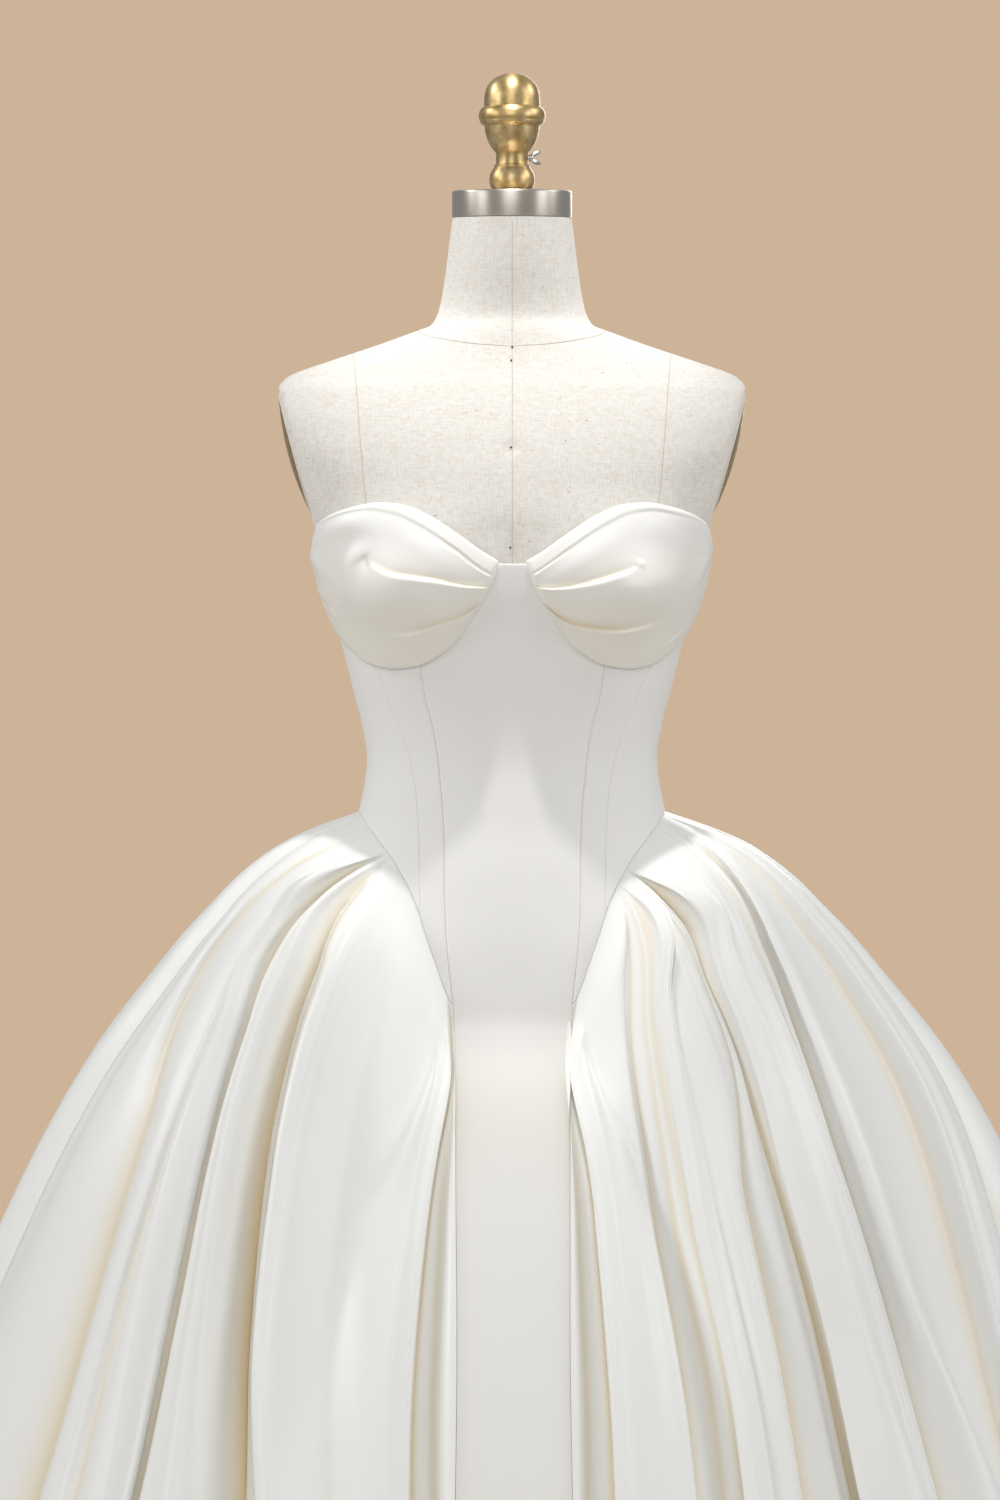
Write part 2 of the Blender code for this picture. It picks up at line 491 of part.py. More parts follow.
def build_arm_plates():
    """A slightly domed brass plate closes each armhole."""
    brass = material("antique_brass", (0.42, 0.31, 0.14), 0.38, 1.0)
    tall, deep, rim, dome = 0.0490, 0.0400, 0.0012, 0.0062
    middle_height = 1.3275
    reach = ARMHOLE_REACH + (middle_height - ARMHOLE_FOOT) * ARMHOLE_SLOPE
    for side, name in ((-1, "arm_plate_left"), (1, "arm_plate_right")):
        profile = [(0.0, 0.0), (0.0, 1.0), (rim, 1.0)]
        profile += [(rim + (dome - rim) * (1 - r * r), r) for r in (0.8, 0.55, 0.3)] + [(dome, 0.0)]
        plate = add_turned(name, profile, brass, 24)
        tilt = Matrix.Rotation(side * (math.pi / 2 + math.atan(ARMHOLE_SLOPE)), 4, "Y")
        stretch = Matrix.Diagonal((tall, deep, 1.0, 1.0))
        plate.data.transform(stretch)
        lift = SEAM_GAP / math.cos(math.atan(ARMHOLE_SLOPE))
        put(plate, Matrix.Translation((side * (reach + lift), 0.004, middle_height)) @ tilt)


def build_neck():
    steel = material("brushed_steel", (0.52, 0.50, 0.48), 0.32, 1.0)
    top, flat = SEAM_GAP + CAP_HEIGHT, CAP_RADIUS - CAP_ROUND
    profile = [(SEAM_GAP, 0.0), (SEAM_GAP, flat + 0.001), (SEAM_GAP + 0.001, CAP_RADIUS)]
    profile += [(top - CAP_ROUND, CAP_RADIUS), (top - CAP_ROUND * 0.3, CAP_RADIUS - CAP_ROUND * 0.3)]
    profile += [(top, flat), (top, 0.0)]
    put(add_turned("neck_cap", profile, steel, 32), neck_frame())


def build_stand():
    iron = material("painted_cast_iron", (0.03, 0.03, 0.03), 0.5)
    steel = material("stand_steel", (0.55, 0.55, 0.55), 0.35, 1.0)
    add_turned("stand_base", BASE, iron, 32)
    foot, head = BASE[-1][0] + SEAM_GAP, FORM[0, 0] - SEAM_GAP
    add_turned("stand_pole", [(foot, 0.0), (foot, POLE_RADIUS), (head, POLE_RADIUS), (head, 0.0)], steel, 20)


def build_finial():
    """The finial stands on the neck cap, with a cross hole for its thumbscrew on the +X side."""
    brass = material("cast_brass", (0.47, 0.36, 0.18), 0.36, 1.0)
    finial = add_turned("finial", FINIAL, brass, 20)
    cutter = bmesh.new()
    bore = SCREW_RADIUS + SCREW_PLAY
    bmesh.ops.create_cone(cutter, cap_ends=True, segments=16, radius1=bore, radius2=bore, depth=0.016)
    hole = new_object("screw_hole_cutter", cutter, brass)
    hole.hide_render, hole.display_type = True, "WIRE"
    put(finial, neck_frame())
    across = Matrix.Translation((0.013, 0, SCREW_HEIGHT)) @ Matrix.Rotation(math.pi / 2, 4, "Y")
    put(hole, neck_frame() @ across)
    cut = finial.modifiers.new("screw_hole", "BOOLEAN")
    cut.operation, cut.object = "DIFFERENCE", hole


def build_thumbscrew():
    """A steel wing screw: a shank in the finial's cross hole, a collar and two flat wings."""
    steel = material("nickel_plated_steel", (0.62, 0.62, 0.62), 0.25, 1.0)
    shank_from, collar_from, collar_to = 0.0062, 0.0140, 0.0162
    wing_reach, wing_out, wing_half = 0.0060, 0.0078, 0.0006
    data = bmesh.new()
    profile = [(shank_from, 0.0), (shank_from, SCREW_RADIUS), (collar_from, SCREW_RADIUS)]
    profile += [(collar_from, 0.0031), (collar_to, 0.0031), (collar_to + 0.0008, 0.0022)]
    profile += [(collar_to + 0.0008, 0.0)]
    chain = [data.verts.new((x, r, 0)) for x, r in profile]
    edges = [data.edges.new(pair) for pair in zip(chain, chain[1:])]
    bmesh.ops.spin(
        data, geom=chain + edges, cent=(0, 0, 0), axis=(1, 0, 0),
        angle=math.tau, steps=16, use_merge=True,
    )
    bmesh.ops.remove_doubles(data, verts=data.verts, dist=1e-5)
    screw = new_object("thumbscrew", data, steel, 35)
    wing_from = collar_to - 0.0006
    half = [(0.0050, 0.0), (0.0056, 0.0012), (wing_out, 0.0046), (0.0060, wing_reach)]
    half += [(0.0026, 0.0056), (0.0, 0.0016)]
    outline = [(x, -z) for x, z in half[:0:-1]] + half
    flat = [(wing_from + x, -wing_half, z) for x, z in outline]
    wing = add_plate("thumbscrew_wing_shape", flat, (0, 2 * wing_half, 0), steel)
    wing.hide_render, wing.display_type = True, "WIRE"
    join = screw.modifiers.new("wings", "BOOLEAN")
    join.operation, join.object = "UNION", wing
    middle = neck_frame() @ Matrix.Translation((0, 0, SCREW_HEIGHT))
    put(screw, middle)
    put(wing, middle)


# ---------------------------------------------------------------- the bodice
def seam_angle(column):
    return lambda height: through(BODICE_SEAMS, column, height)


def straight(angle):
    return lambda height: angle + 0 * height


def lap_height(angle):
    """Upper edge of the side panels: a lap under the cup's foot, then the neckline beyond the cup."""
    return through(SIDE_TOP, 1, np.abs(angle))


def neckline_height(angle):
    return through(NECKLINE, 1, np.abs(angle))


def panel_between(near, far, shares, foot, top, levels):
    """Angles and heights of a bodice panel: its columns at shares of the way from near to far."""
    ends = []
    for edge in (top, foot):
        height = np.full_like(shares, 1.1)
        for _ in range(40):
            height = edge(near(height) + (far(height) - near(height)) * shares)
        ends.append(height)
    height = ends[0] + (ends[1] - ends[0]) * levels[:, None]
    return near(height) + (far(height) - near(height)) * shares, height


def bodice_shares(near, far, foot_angles):
    """Column shares of a panel whose foot meets the skirt's own points along the waist seam."""
    ends = [meeting_angle(curve) for curve in (near, far)]
    inside = foot_angles[(foot_angles > ends[0] + 0.8) & (foot_angles < ends[1] - 0.8)]
    height = waist_height(inside)
    return np.concatenate([[0.0], (inside - near(height)) / (far(height) - near(height)), [1.0]])


def build_bodice():
    satin = material("satin_bodice", (0.86, 0.86, 0.84), 0.42)
    first, second = seam_angle(1), seam_angle(2)
    levels = BODICE_LEVELS
    lap, foot = float(lap_height(first(LAP_ROW))), WAIST_SEAM[0, 1]
    rows = np.concatenate([NECK_ROWS, lap + (foot - lap) * levels])
    height = np.repeat(rows[:, None], PANEL_COLUMNS + 1, axis=1)
    front_outer, front_inner = bodice_wall(first(height) * np.linspace(-1, 1, PANEL_COLUMNS + 1), height)
    places = FRONT_LINE + np.linspace(-1, 1, PANEL_COLUMNS + 1)
    skirt_outer, skirt_inner = skirt_wall(places, np.array(SKIRT_ROWS[1:]))
    outer = np.concatenate([front_outer, skirt_outer])
    inner = np.concatenate([front_inner, skirt_inner])
    add_wall("front_panel", *part_edges((outer, inner), ("first_column", "last_column")), satin)
    pieces = [
        ("side_front", first, second, lap_height), ("side", second, straight(SIDE_SEAM), lap_height),
        ("back", straight(SIDE_SEAM), straight(180.0), neckline_height),
    ]
    for sign, hand in ((-1, "left"), (1, "right")):
        foot_angles = skirt_top_angles(sign)
        for name, near, far, top in pieces:
            shares = bodice_shares(near, far, foot_angles)
            angle, height = panel_between(near, far, shares, waist_height, top, levels)
            if sign < 0:
                angle, height = -angle[:, ::-1], height[:, ::-1]
            wall = part_edges(bodice_wall(angle, height), ("first_column", "last_column", "foot"))
            add_wall(f"{name}_{hand}", *wall, satin)


def meeting_angle(curve):
    """Angle at which a bodice seam meets the waist seam."""
    height = np.array(1.0)
    for _ in range(60):
        height = waist_height(curve(height))
    return float(curve(height))


def skirt_top_angles(sign):
    """Angles of the skirt's points along one half of the waist seam, rising from the front."""
    last = 0 if sign < 0 else LINE_COUNT - 1
    places = np.arange(FRONT_LINE * SPANS_PER_LINE, last * SPANS_PER_LINE, sign) / SPANS_PER_LINE
    top = skirt_surface(places, np.array([0.0]))[0]
    angle = np.abs(np.degrees(np.arctan2(top[:, 0], -top[:, 1])))
    return np.sort(angle[(angle < V_SHOULDER) | (places % 1 == 0)])


# ---------------------------------------------------------------- the cups
def cup_patch(columns, rows):
    """Angles and heights of a cup, from its foot to its top and from the front to the side."""
    across, up = np.linspace(0, 1, columns), np.linspace(0, 1, rows)

    def along(side, shares):
        turn = side * (0.15, 60)  # degrees and metres made about equal, for the curve's length
        run = np.concatenate([[0], np.cumsum(np.linalg.norm(np.diff(turn, axis=0), axis=1))])
        table = np.column_stack([run / run[-1], side])
        return np.stack([through(table, 1, shares), through(table, 2, shares)], -1)

    foot, top = along(CUP_BOTTOM, across)[None], along(CUP_TOP, across)[None]
    inner, outer = along(CUP_INNER, up)[:, None], along(CUP_OUTER, up)[:, None]
    u, v = across[None, :, None], up[:, None, None]
    corners = (1 - u) * (1 - v) * foot[:, :1] + u * (1 - v) * foot[:, -1:]
    corners = corners + (1 - u) * v * top[:, :1] + u * v * top[:, -1:]
    return (1 - v) * foot + v * top + (1 - u) * inner + u * outer - corners


def cup_rise(across, up):
    """How far the gathered satin stands out over the cup: pleats that fan from the inner edge."""
    ends = smooth_step(across / 0.12) * smooth_step((1 - across) / 0.1)
    rise = 0.0032 * (1 - np.abs(2 * up - 1) ** 4) * ends
    for start, end, width, depth, reach in CUP_PLEATS:
        line = start + (end - start) * smooth_step(across / reach)
        fade = smooth_step((reach - across) / 0.35)
        rise = rise + depth * fade * np.exp(-(((up - line) / width) ** 2))
    return rise


def build_cups():
    satin = material("satin_cups", (0.88, 0.88, 0.86), 0.40)
    columns, rows = 15, 11
    patch = cup_patch(columns, rows)
    across, up = np.meshgrid(np.linspace(0, 1, columns), np.linspace(0, 1, rows))
    skin = form_radius(patch[..., 0], patch[..., 1]) + EASE + CLOTH_WALL + CUP_LIFT
    for sign, hand in ((-1, "left"), (1, "right")):
        inner = at_polar(sign * patch[..., 0], skin, patch[..., 1])
        outer = at_polar(sign * patch[..., 0], skin + CUP_WALL + cup_rise(across, up), patch[..., 1])
        add_wall(f"cup_{hand}", outer, inner, satin)


# ---------------------------------------------------------------- the skirt
def build_skirt():
    satin = material("satin_skirt", (0.91, 0.90, 0.87), 0.38)
    shares = np.array(SKIRT_ROWS)
    last = LINE_COUNT - 1
    seams = {sign: line_place(sign, "side_seam_valley") for sign in (-1, 1)}
    pieces = [
        ("skirt_side_left", seams[-1], FRONT_LINE - 1), ("skirt_side_right", FRONT_LINE + 1, seams[1]),
        ("skirt_back_left", 0, seams[-1]), ("skirt_back_right", seams[1], last),
    ]
    for name, near, far in pieces:
        places = np.linspace(near, far, (far - near) * SPANS_PER_LINE + 1)
        wall = part_edges(skirt_wall(places, shares), ("first_column", "last_column", "top"))
        add_wall(name, *wall, satin)


# ---------------------------------------------------------------- the zip
def build_zip():
    """The slider of the concealed centre-back zip, and its pull tab, which hangs from its bridge.

    The slider is made in a frame of its own: X across the back, Y out of the cloth, Z up the zip.
    """
    enamel = material("enamelled_zinc", (0.85, 0.85, 0.83), 0.35)
    ends = form_radius(180.0, np.array([SLIDER_HEIGHT - 0.01, SLIDER_HEIGHT + 0.01]))
    depth = float(ends.mean()) + EASE + CLOTH_WALL + SLIDER_LIFT
    slope = Matrix.Rotation(-math.atan(float(ends[1] - ends[0]) / 0.02), 4, "X")
    frame = Matrix.Translation((0, depth, SLIDER_HEIGHT)) @ slope
    half_length, plate, half_width = 0.0045, 0.0012, 0.0026
    outline = [(0, -half_length), (plate, -half_length), (plate, half_length), (0, half_length)]
    slider = add_plate("zip_slider", [(-half_width, *at) for at in outline], (2 * half_width, 0, 0), enamel)
    put(slider, frame)
    foot, top, wall, half = 0.0030, 0.0042, 0.0009, 0.0008
    arch = [(plate / 2, -foot), (top, -foot), (top, foot), (plate / 2, foot), (plate / 2, foot - wall)]
    arch += [(top - wall, foot - wall), (top - wall, wall - foot), (plate / 2, wall - foot)]
    bridge = add_plate("zip_bridge_shape", [(-half, *at) for at in arch], (2 * half, 0, 0), enamel)
    bridge.hide_render, bridge.display_type = True, "WIRE"
    put(bridge, frame)
    join = slider.modifiers.new("bridge", "BOOLEAN")
    join.operation, join.object = "UNION", bridge
    build_pull_tab(enamel, frame @ Vector((0, TAB_AXIS_OUT, 0)))


def build_pull_tab(finish, axis_at):
    """A crossbar under the bridge, two arms beside it and a slim plate that hangs straight down."""
    bar, arm_near, arm_far, thick = 0.0005, 0.0013, 0.0021, 0.0005
    length, yoke, corner = 0.0230, 0.0060, 0.0014
    outline = [(-arm_far, bar), (arm_far, bar), (arm_far, corner - length), (arm_far - corner, -length)]
    outline += [(corner - arm_far, -length), (-arm_far, corner - length)]
    tab = add_plate("pull_tab", [(x, -thick, z) for x, z in outline], (0, 2 * thick, 0), finish)
    window = [(-arm_near, -bar), (arm_near, -bar), (arm_near, -yoke), (-arm_near, -yoke)]
    through_tab = 4 * thick
    cutter_points = [(x, -through_tab, z) for x, z in window]
    cutter = add_plate("pull_tab_window_cutter", cutter_points, (0, 2 * through_tab, 0), finish)
    cutter.hide_render, cutter.display_type = True, "WIRE"
    cut = tab.modifiers.new("window", "BOOLEAN")
    cut.operation, cut.object = "DIFFERENCE", cutter
    put(tab, Matrix.Translation(axis_at))
    put(cutter, Matrix.Translation(axis_at))


for old in list(bpy.data.objects):
    bpy.data.objects.remove(old)
build_form()
build_arm_plates()
build_neck()
build_finial()
build_thumbscrew()
build_stand()
build_bodice()
build_cups()
build_skirt()
build_zip()
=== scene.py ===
"""Strapless ball gown in heavy ivory satin, standing on a linen-covered dress form.

Metres, +Z up, the front faces -Y. An angle is measured round the upright axis from centre front, in
degrees, positive towards +X. The sections follow the order in which the thing is put together: the
stand, the form with its metal fittings, the bodice, the cups, the skirt, and the zip that closes it.
"""

import math

import bmesh
import bpy
import numpy as np
from mathutils import Matrix, Vector


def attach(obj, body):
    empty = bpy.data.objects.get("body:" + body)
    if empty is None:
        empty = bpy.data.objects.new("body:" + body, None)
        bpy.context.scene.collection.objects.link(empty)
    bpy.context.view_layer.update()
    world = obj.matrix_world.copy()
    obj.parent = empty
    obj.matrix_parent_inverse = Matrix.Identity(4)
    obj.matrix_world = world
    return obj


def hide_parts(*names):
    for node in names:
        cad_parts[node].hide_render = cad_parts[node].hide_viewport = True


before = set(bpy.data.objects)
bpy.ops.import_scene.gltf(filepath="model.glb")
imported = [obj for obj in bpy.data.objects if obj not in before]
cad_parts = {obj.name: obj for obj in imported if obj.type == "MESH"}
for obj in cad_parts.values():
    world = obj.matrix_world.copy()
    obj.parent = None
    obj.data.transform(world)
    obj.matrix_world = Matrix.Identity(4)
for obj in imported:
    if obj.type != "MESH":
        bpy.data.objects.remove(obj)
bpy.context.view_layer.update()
STANDING = "gown_and_form"

# ---------------------------------------------------------------- stand
# A round cast-iron base, black enamelled, with a boss in the middle that holds a drawn steel tube.
# Both are turned shapes: the base is cast and machined flat below, the tube is cut square.
BASE_PROFILE = [
    (0.0000, 0.0000), (0.0000, 0.1860), (0.0006, 0.1884), (0.0020, 0.1900), (0.0088, 0.1900), (0.0104, 0.1892),
    (0.0120, 0.1860), (0.0140, 0.1500), (0.0170, 0.1050), (0.0200, 0.0600), (0.0222, 0.0430), (0.0262, 0.0310),
    (0.0380, 0.0272), (0.0690, 0.0242), (0.0716, 0.0234), (0.0730, 0.0212), (0.0730, 0.0000),
]
POLE_PROFILE = [(0.0733, 0.0), (0.0733, 0.0136), (0.0737, 0.0140), (0.7393, 0.0140), (0.7397, 0.0136), (0.7397, 0.0)]


def linear(hex_colour, alpha=1.0):
    """An sRGB hex colour as the linear colour that a shader reads."""
    parts = [int(hex_colour[i:i + 2], 16) / 255 for i in (1, 3, 5)]
    return (*[c / 12.92 if c <= 0.04045 else ((c + 0.055) / 1.055) ** 2.4 for c in parts], alpha)


def add_node(tree, kind, links=None, values=None, **settings):
    """Adds a node, its settings, its inputs' values and what is linked into its inputs."""
    made = tree.nodes.new(kind)
    for name, value in settings.items():
        setattr(made, name, value)
    for name, value in (values or {}).items():
        made.inputs[name].default_value = value
    for name, source in (links or {}).items():
        tree.links.new(source, made.inputs[name])
    return made


def new_material(name, colour, roughness, **sockets):
    """A Principled material, with its tree and shader for the section to build on."""
    made = bpy.data.materials.new(name)
    made.use_nodes = True
    shader = made.node_tree.nodes["Principled BSDF"]
    shader.inputs["Base Color"].default_value = linear(colour)
    shader.inputs["Roughness"].default_value = roughness
    for socket, value in sockets.items():
        shader.inputs[socket.replace("_", " ")].default_value = value
    return made, made.node_tree, shader


def grain(tree, size_mm, detail=2.0, stretch=(1.0, 1.0, 1.0), roughness=0.5):
    """Noise in the piece's own space, with blotches of about a size in millimetres."""
    place = add_node(tree, "ShaderNodeTexCoord").outputs["Object"]
    turned = add_node(tree, "ShaderNodeMapping", {"Vector": place}, {"Scale": stretch})
    return add_node(
        tree, "ShaderNodeTexNoise", {"Vector": turned.outputs[0]},
        {"Scale": 1000 / size_mm, "Detail": detail, "Roughness": roughness},
    ).outputs["Fac"]


def bump(tree, shader, height, depth_mm, under=None):
    """Raises a pattern by a depth in millimetres, over another bump where one is given."""
    links = {"Height": height}
    if under:
        links["Normal"] = under
    made = add_node(tree, "ShaderNodeBump", links, {"Strength": 1.0, "Distance": depth_mm / 1000})
    tree.links.new(made.outputs["Normal"], shader.inputs["Normal"])
    return made.outputs["Normal"]


def vary_roughness(tree, shader, source, low, high):
    """Spreads the roughness between two values by a pattern."""
    spread = add_node(tree, "ShaderNodeMapRange", {"Value": source}, {"To Min": low, "To Max": high})
    tree.links.new(spread.outputs["Result"], shader.inputs["Roughness"])


def new_object(name, data):
    """An object of some data, linked into the scene."""
    made = bpy.data.objects.new(name, data)
    bpy.context.scene.collection.objects.link(made)
    return made


def plain_mesh(name, data):
    """Ends a bmesh: its shape as a mesh."""
    mesh = bpy.data.meshes.new(name)
    data.to_mesh(mesh)
    data.free()
    return mesh


def add_piece(name, data, finish, body, replaced=(), smooth=40):
    """Links a finished mesh as a piece that goes with a body and stands for the solids it replaces."""
    data.materials.append(finish)
    data.shade_smooth()
    data.set_sharp_from_angle(angle=math.radians(smooth))
    made = new_object(name, data)
    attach(made, body)
    if replaced:
        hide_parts(*replaced)
    return made


def turned_mesh(name, profile, segments, matrix=Matrix.Identity(4)):
    """A body turned round the upright axis from a (height, radius) profile, then put in its place."""
    data = bmesh.new()
    chain = [data.verts.new((radius, 0, height)) for height, radius in profile]
    edges = [data.edges.new(pair) for pair in zip(chain, chain[1:])]
    bmesh.ops.spin(
        data, geom=chain + edges, cent=(0, 0, 0), axis=(0, 0, 1), angle=math.tau, steps=segments, use_merge=True,
    )
    bmesh.ops.remove_doubles(data, verts=data.verts, dist=1e-6)
    bmesh.ops.recalc_face_normals(data, faces=data.faces)
    mesh = plain_mesh(name, data)
    mesh.transform(matrix)
    return mesh


def add_turned(name, profile, segments, finish, node, smooth, matrix=Matrix.Identity(4)):
    """A turned piece that is fixed to the form or its stand, in place of a solid."""
    add_piece(name, turned_mesh(name, profile, segments, matrix), finish, STANDING, [node], smooth)


# Black enamel over cast iron: the casting's faint orange peel shows in the gloss.
cast_iron, tree, shader = new_material("black_enamelled_cast_iron", "#161616", 0.4, Coat_Weight=0.3)
bump(tree, shader, grain(tree, 2.5, 3), 0.12)
vary_roughness(tree, shader, grain(tree, 30, 3), 0.3, 0.5)
# Drawn steel tube: fine lines run along its length.
drawn_steel, tree, shader = new_material("drawn_steel_tube", "#b9b9b8", 0.3, Metallic=1.0)
lines = grain(tree, 1.5, 2, (1.0, 1.0, 0.02))
bump(tree, shader, lines, 0.02)
vary_roughness(tree, shader, lines, 0.24, 0.4)
add_turned("stand_base_casting", BASE_PROFILE, 96, cast_iron, "stand_base", 35)
add_turned("stand_pole_tube", POLE_PROFILE, 48, drawn_steel, "stand_pole", 35)

# ---------------------------------------------------------------- torso of the form
# A padded shell covered in tight natural linen, cut in panels that meet in seams at centre front and
# back, down the princess lines and round the foot of the neck. The armholes are cut flat.
FORM = np.array([  # height, half-width, front depth, back depth, squareness, shift to the back
    (0.740, 0.1500, 0.1050, 0.1220, 2.40, 0.000), (0.800, 0.1650, 0.1120, 0.1320, 2.40, 0.000),
    (0.860, 0.1700, 0.1150, 0.1340, 2.40, 0.000), (0.920, 0.1580, 0.1120, 0.1220, 2.30, 0.000),
    (0.980, 0.1395, 0.1035, 0.1040, 2.25, 0.000), (1.032, 0.1228, 0.0935, 0.0880, 2.20, 0.000),
    (1.080, 0.1155, 0.0885, 0.0800, 2.20, 0.000), (1.103, 0.1190, 0.0895, 0.0810, 2.20, 0.000),
    (1.135, 0.1270, 0.0940, 0.0850, 2.20, 0.000), (1.175, 0.1370, 0.1000, 0.0920, 2.25, 0.000),
    (1.215, 0.1490, 0.1050, 0.1000, 2.35, 0.000), (1.265, 0.1610, 0.1070, 0.1070, 2.40, 0.000),
    (1.300, 0.1800, 0.1020, 0.1080, 2.25, 0.000), (1.330, 0.1950, 0.0940, 0.1060, 2.20, 0.000),
    (1.355, 0.2000, 0.0850, 0.0990, 2.15, 0.000), (1.374, 0.1960, 0.0770, 0.0910, 2.10, 0.000),
    (1.389, 0.1840, 0.0705, 0.0830, 2.00, 0.001), (1.402, 0.1500, 0.0660, 0.0760, 2.00, 0.002),
    (1.414, 0.1140, 0.0630, 0.0705, 2.00, 0.003), (1.424, 0.0860, 0.0600, 0.0660, 2.00, 0.003),
    (1.432, 0.0660, 0.0570, 0.0610, 2.00, 0.003), (1.447, 0.0590, 0.0540, 0.0560, 2.00, 0.001),
    (1.476, 0.0540, 0.0520, 0.0520, 2.00, -0.003), (1.520, 0.0486, 0.0486, 0.0486, 2.00, -0.008),
])
BUST_ANGLE, BUST_SPREAD, BUST_HEIGHT, BUST_DROP, BUST_DEPTH = 36, 21, 1.212, 0.042, 0.021
NECK_TILT, NECK_TILT_FROM, NECK_TOP = math.radians(6.5), 1.447, 1.5195
ARMHOLE_FOOT, ARMHOLE_REACH, ARMHOLE_SLOPE, ARMHOLE_EDGE = 1.278, 0.1634, 0.2667, 0.0016


def through(table, column, at):
    """A smooth curve through one column of a table, by its first column, that never overshoots."""
    xs, ys = table[:, 0], table[:, column]
    at = np.asarray(at, float)
    step = np.diff(xs)
    slope = np.diff(ys) / step
    tangent = np.zeros_like(ys)
    tangent[0], tangent[-1] = slope[0], slope[-1]
    product = slope[:-1] * slope[1:]
    total = np.where(product > 0, slope[:-1] + slope[1:], 1.0)
    tangent[1:-1] = np.where(product > 0, 2 * product / total, 0.0)
    i = np.clip(np.searchsorted(xs, at, side="right") - 1, 0, len(step) - 1)
    s = (np.clip(at, xs[0], xs[-1]) - xs[i]) / step[i]
    return (
        ys[i] * (1 + 2 * s) * (1 - s) ** 2 + step[i] * tangent[i] * s * (1 - s) ** 2
        + ys[i + 1] * s * s * (3 - 2 * s) + step[i] * tangent[i + 1] * s * s * (s - 1)
    )


def smooth_step(s):
    """Rises from 0 to 1 between the same two values of s, without a kink."""
    s = np.clip(s, 0.0, 1.0)
    return s * s * (3 - 2 * s)


def form_radius(angle, height):
    """How far the form's surface lies from its axis."""
    turn = np.radians(angle)
    half_width = through(FORM, 1, height)
    depth = np.where(np.cos(turn) > 0, through(FORM, 2, height), through(FORM, 3, height))
    power = through(FORM, 4, height)
    ways = np.abs(np.sin(turn) / half_width) ** power + np.abs(np.cos(turn) / depth) ** power
    bust = np.exp(-(((np.abs(angle) - BUST_ANGLE) / BUST_SPREAD) ** 2) - ((height - BUST_HEIGHT) / BUST_DROP) ** 2)
    return ways ** (-1 / power) + BUST_DEPTH * bust


def at_polar(angle, radius, height):
    """Points from angle, radius and height."""
    turn = np.radians(angle)
    return np.stack(np.broadcast_arrays(radius * np.sin(turn), -radius * np.cos(turn), height), -1)


def form_points(angle, height, lift=0.0):
    """Points on the linen: flat at the armholes with a soft edge, and the neck leans forward."""
    angle, height = np.broadcast_arrays(np.asarray(angle, float), np.asarray(height, float))
    points = at_polar(angle, form_radius(angle, height) + lift, height)
    reach = ARMHOLE_REACH + np.maximum(0.0, height - ARMHOLE_FOOT) * ARMHOLE_SLOPE + lift
    inside = (reach - np.abs(points[..., 0])) / ARMHOLE_EDGE
    kept = reach - ARMHOLE_EDGE * (np.maximum(inside, 0) + np.log1p(np.exp(-np.abs(inside))))
    points[..., 0] = np.sign(points[..., 0]) * kept
    points[..., 1] += through(FORM, 5, height)
    lean = smooth_step((height - NECK_TILT_FROM) / (NECK_TOP - NECK_TILT_FROM))
    points[..., 2] += points[..., 1] * math.tan(NECK_TILT) * lean
    return points


def tube_mesh(name, points):
    """A closed body through a stack of rings of points, with a flat cap at each end."""
    rows, columns = points.shape[:2]
    index = np.arange(rows * columns).reshape(rows, columns)
    after = np.roll(index, -1, axis=1)
    quads = np.stack([index[:-1], after[:-1], after[1:], index[1:]], -1).reshape(-1, 4)
    mesh = bpy.data.meshes.new(name)
    mesh.from_pydata(points.reshape(-1, 3), [], [*quads.tolist(), index[0][::-1].tolist(), index[-1].tolist()])
    return mesh


def ramp(tree, source, stops):
    """A colour ramp: (position, hex colour) stops."""
    made = add_node(tree, "ShaderNodeValToRGB", {"Fac": source})
    band = made.color_ramp
    while len(band.elements) < len(stops):
        band.elements.new(0.5)
    for element, (position, colour) in zip(band.elements, stops):
        element.position, element.color = position, linear(colour)
    return made.outputs["Color"]


def combined(tree, operation, one, other):
    """Two patterns, or a pattern and a number, added or multiplied."""
    made = add_node(tree, "ShaderNodeMath", {0: one}, operation=operation)
    if isinstance(other, float):
        made.inputs[1].default_value = other
    else:
        tree.links.new(other, made.inputs[1])
    return made.outputs[0]


def mix_colours(tree, share, under, over):
    """Lays a colour over another by a share. Each is a hex colour or another node's colour."""
    made = add_node(tree, "ShaderNodeMix", data_type="RGBA")
    tree.links.new(share, made.inputs[0])
    for socket, colour in ((made.inputs[6], under), (made.inputs[7], over)):
        if isinstance(colour, str):
            socket.default_value = linear(colour)
        else:
            tree.links.new(colour, socket)
    return made.outputs[2]


# Bleached linen, plain woven: threads of uneven thickness cross, with the odd brown fleck of husk.
# The threads are drawn about twice their real size, so that they show. Two pins pull dimples in it.
linen, tree, shader = new_material("natural_linen_cover", "#e6e1d8", 0.85, Sheen_Weight=0.2, Sheen_Roughness=0.5)
weft = grain(tree, 1.5, 3, (0.2, 0.2, 1.0), 0.65)
warp = grain(tree, 1.5, 3, (1.0, 1.0, 0.16), 0.65)
half = combined(tree, "MULTIPLY", combined(tree, "ADD", weft, warp), 0.5)
ground = ramp(tree, half, [(0.34, "#dcd5c9"), (0.5, "#e9e4db"), (0.66, "#f3efe9")])
fleck_place = grain(tree, 2.6, 2, (0.5, 0.5, 1.0), 0.65)
fleck = add_node(tree, "ShaderNodeMapRange", {"Value": fleck_place}, {"From Min": 0.69, "From Max": 0.75}).outputs[0]
tree.links.new(mix_colours(tree, fleck, ground, "#bda98a"), shader.inputs["Base Color"])
woven = bump(tree, shader, half, 0.12)
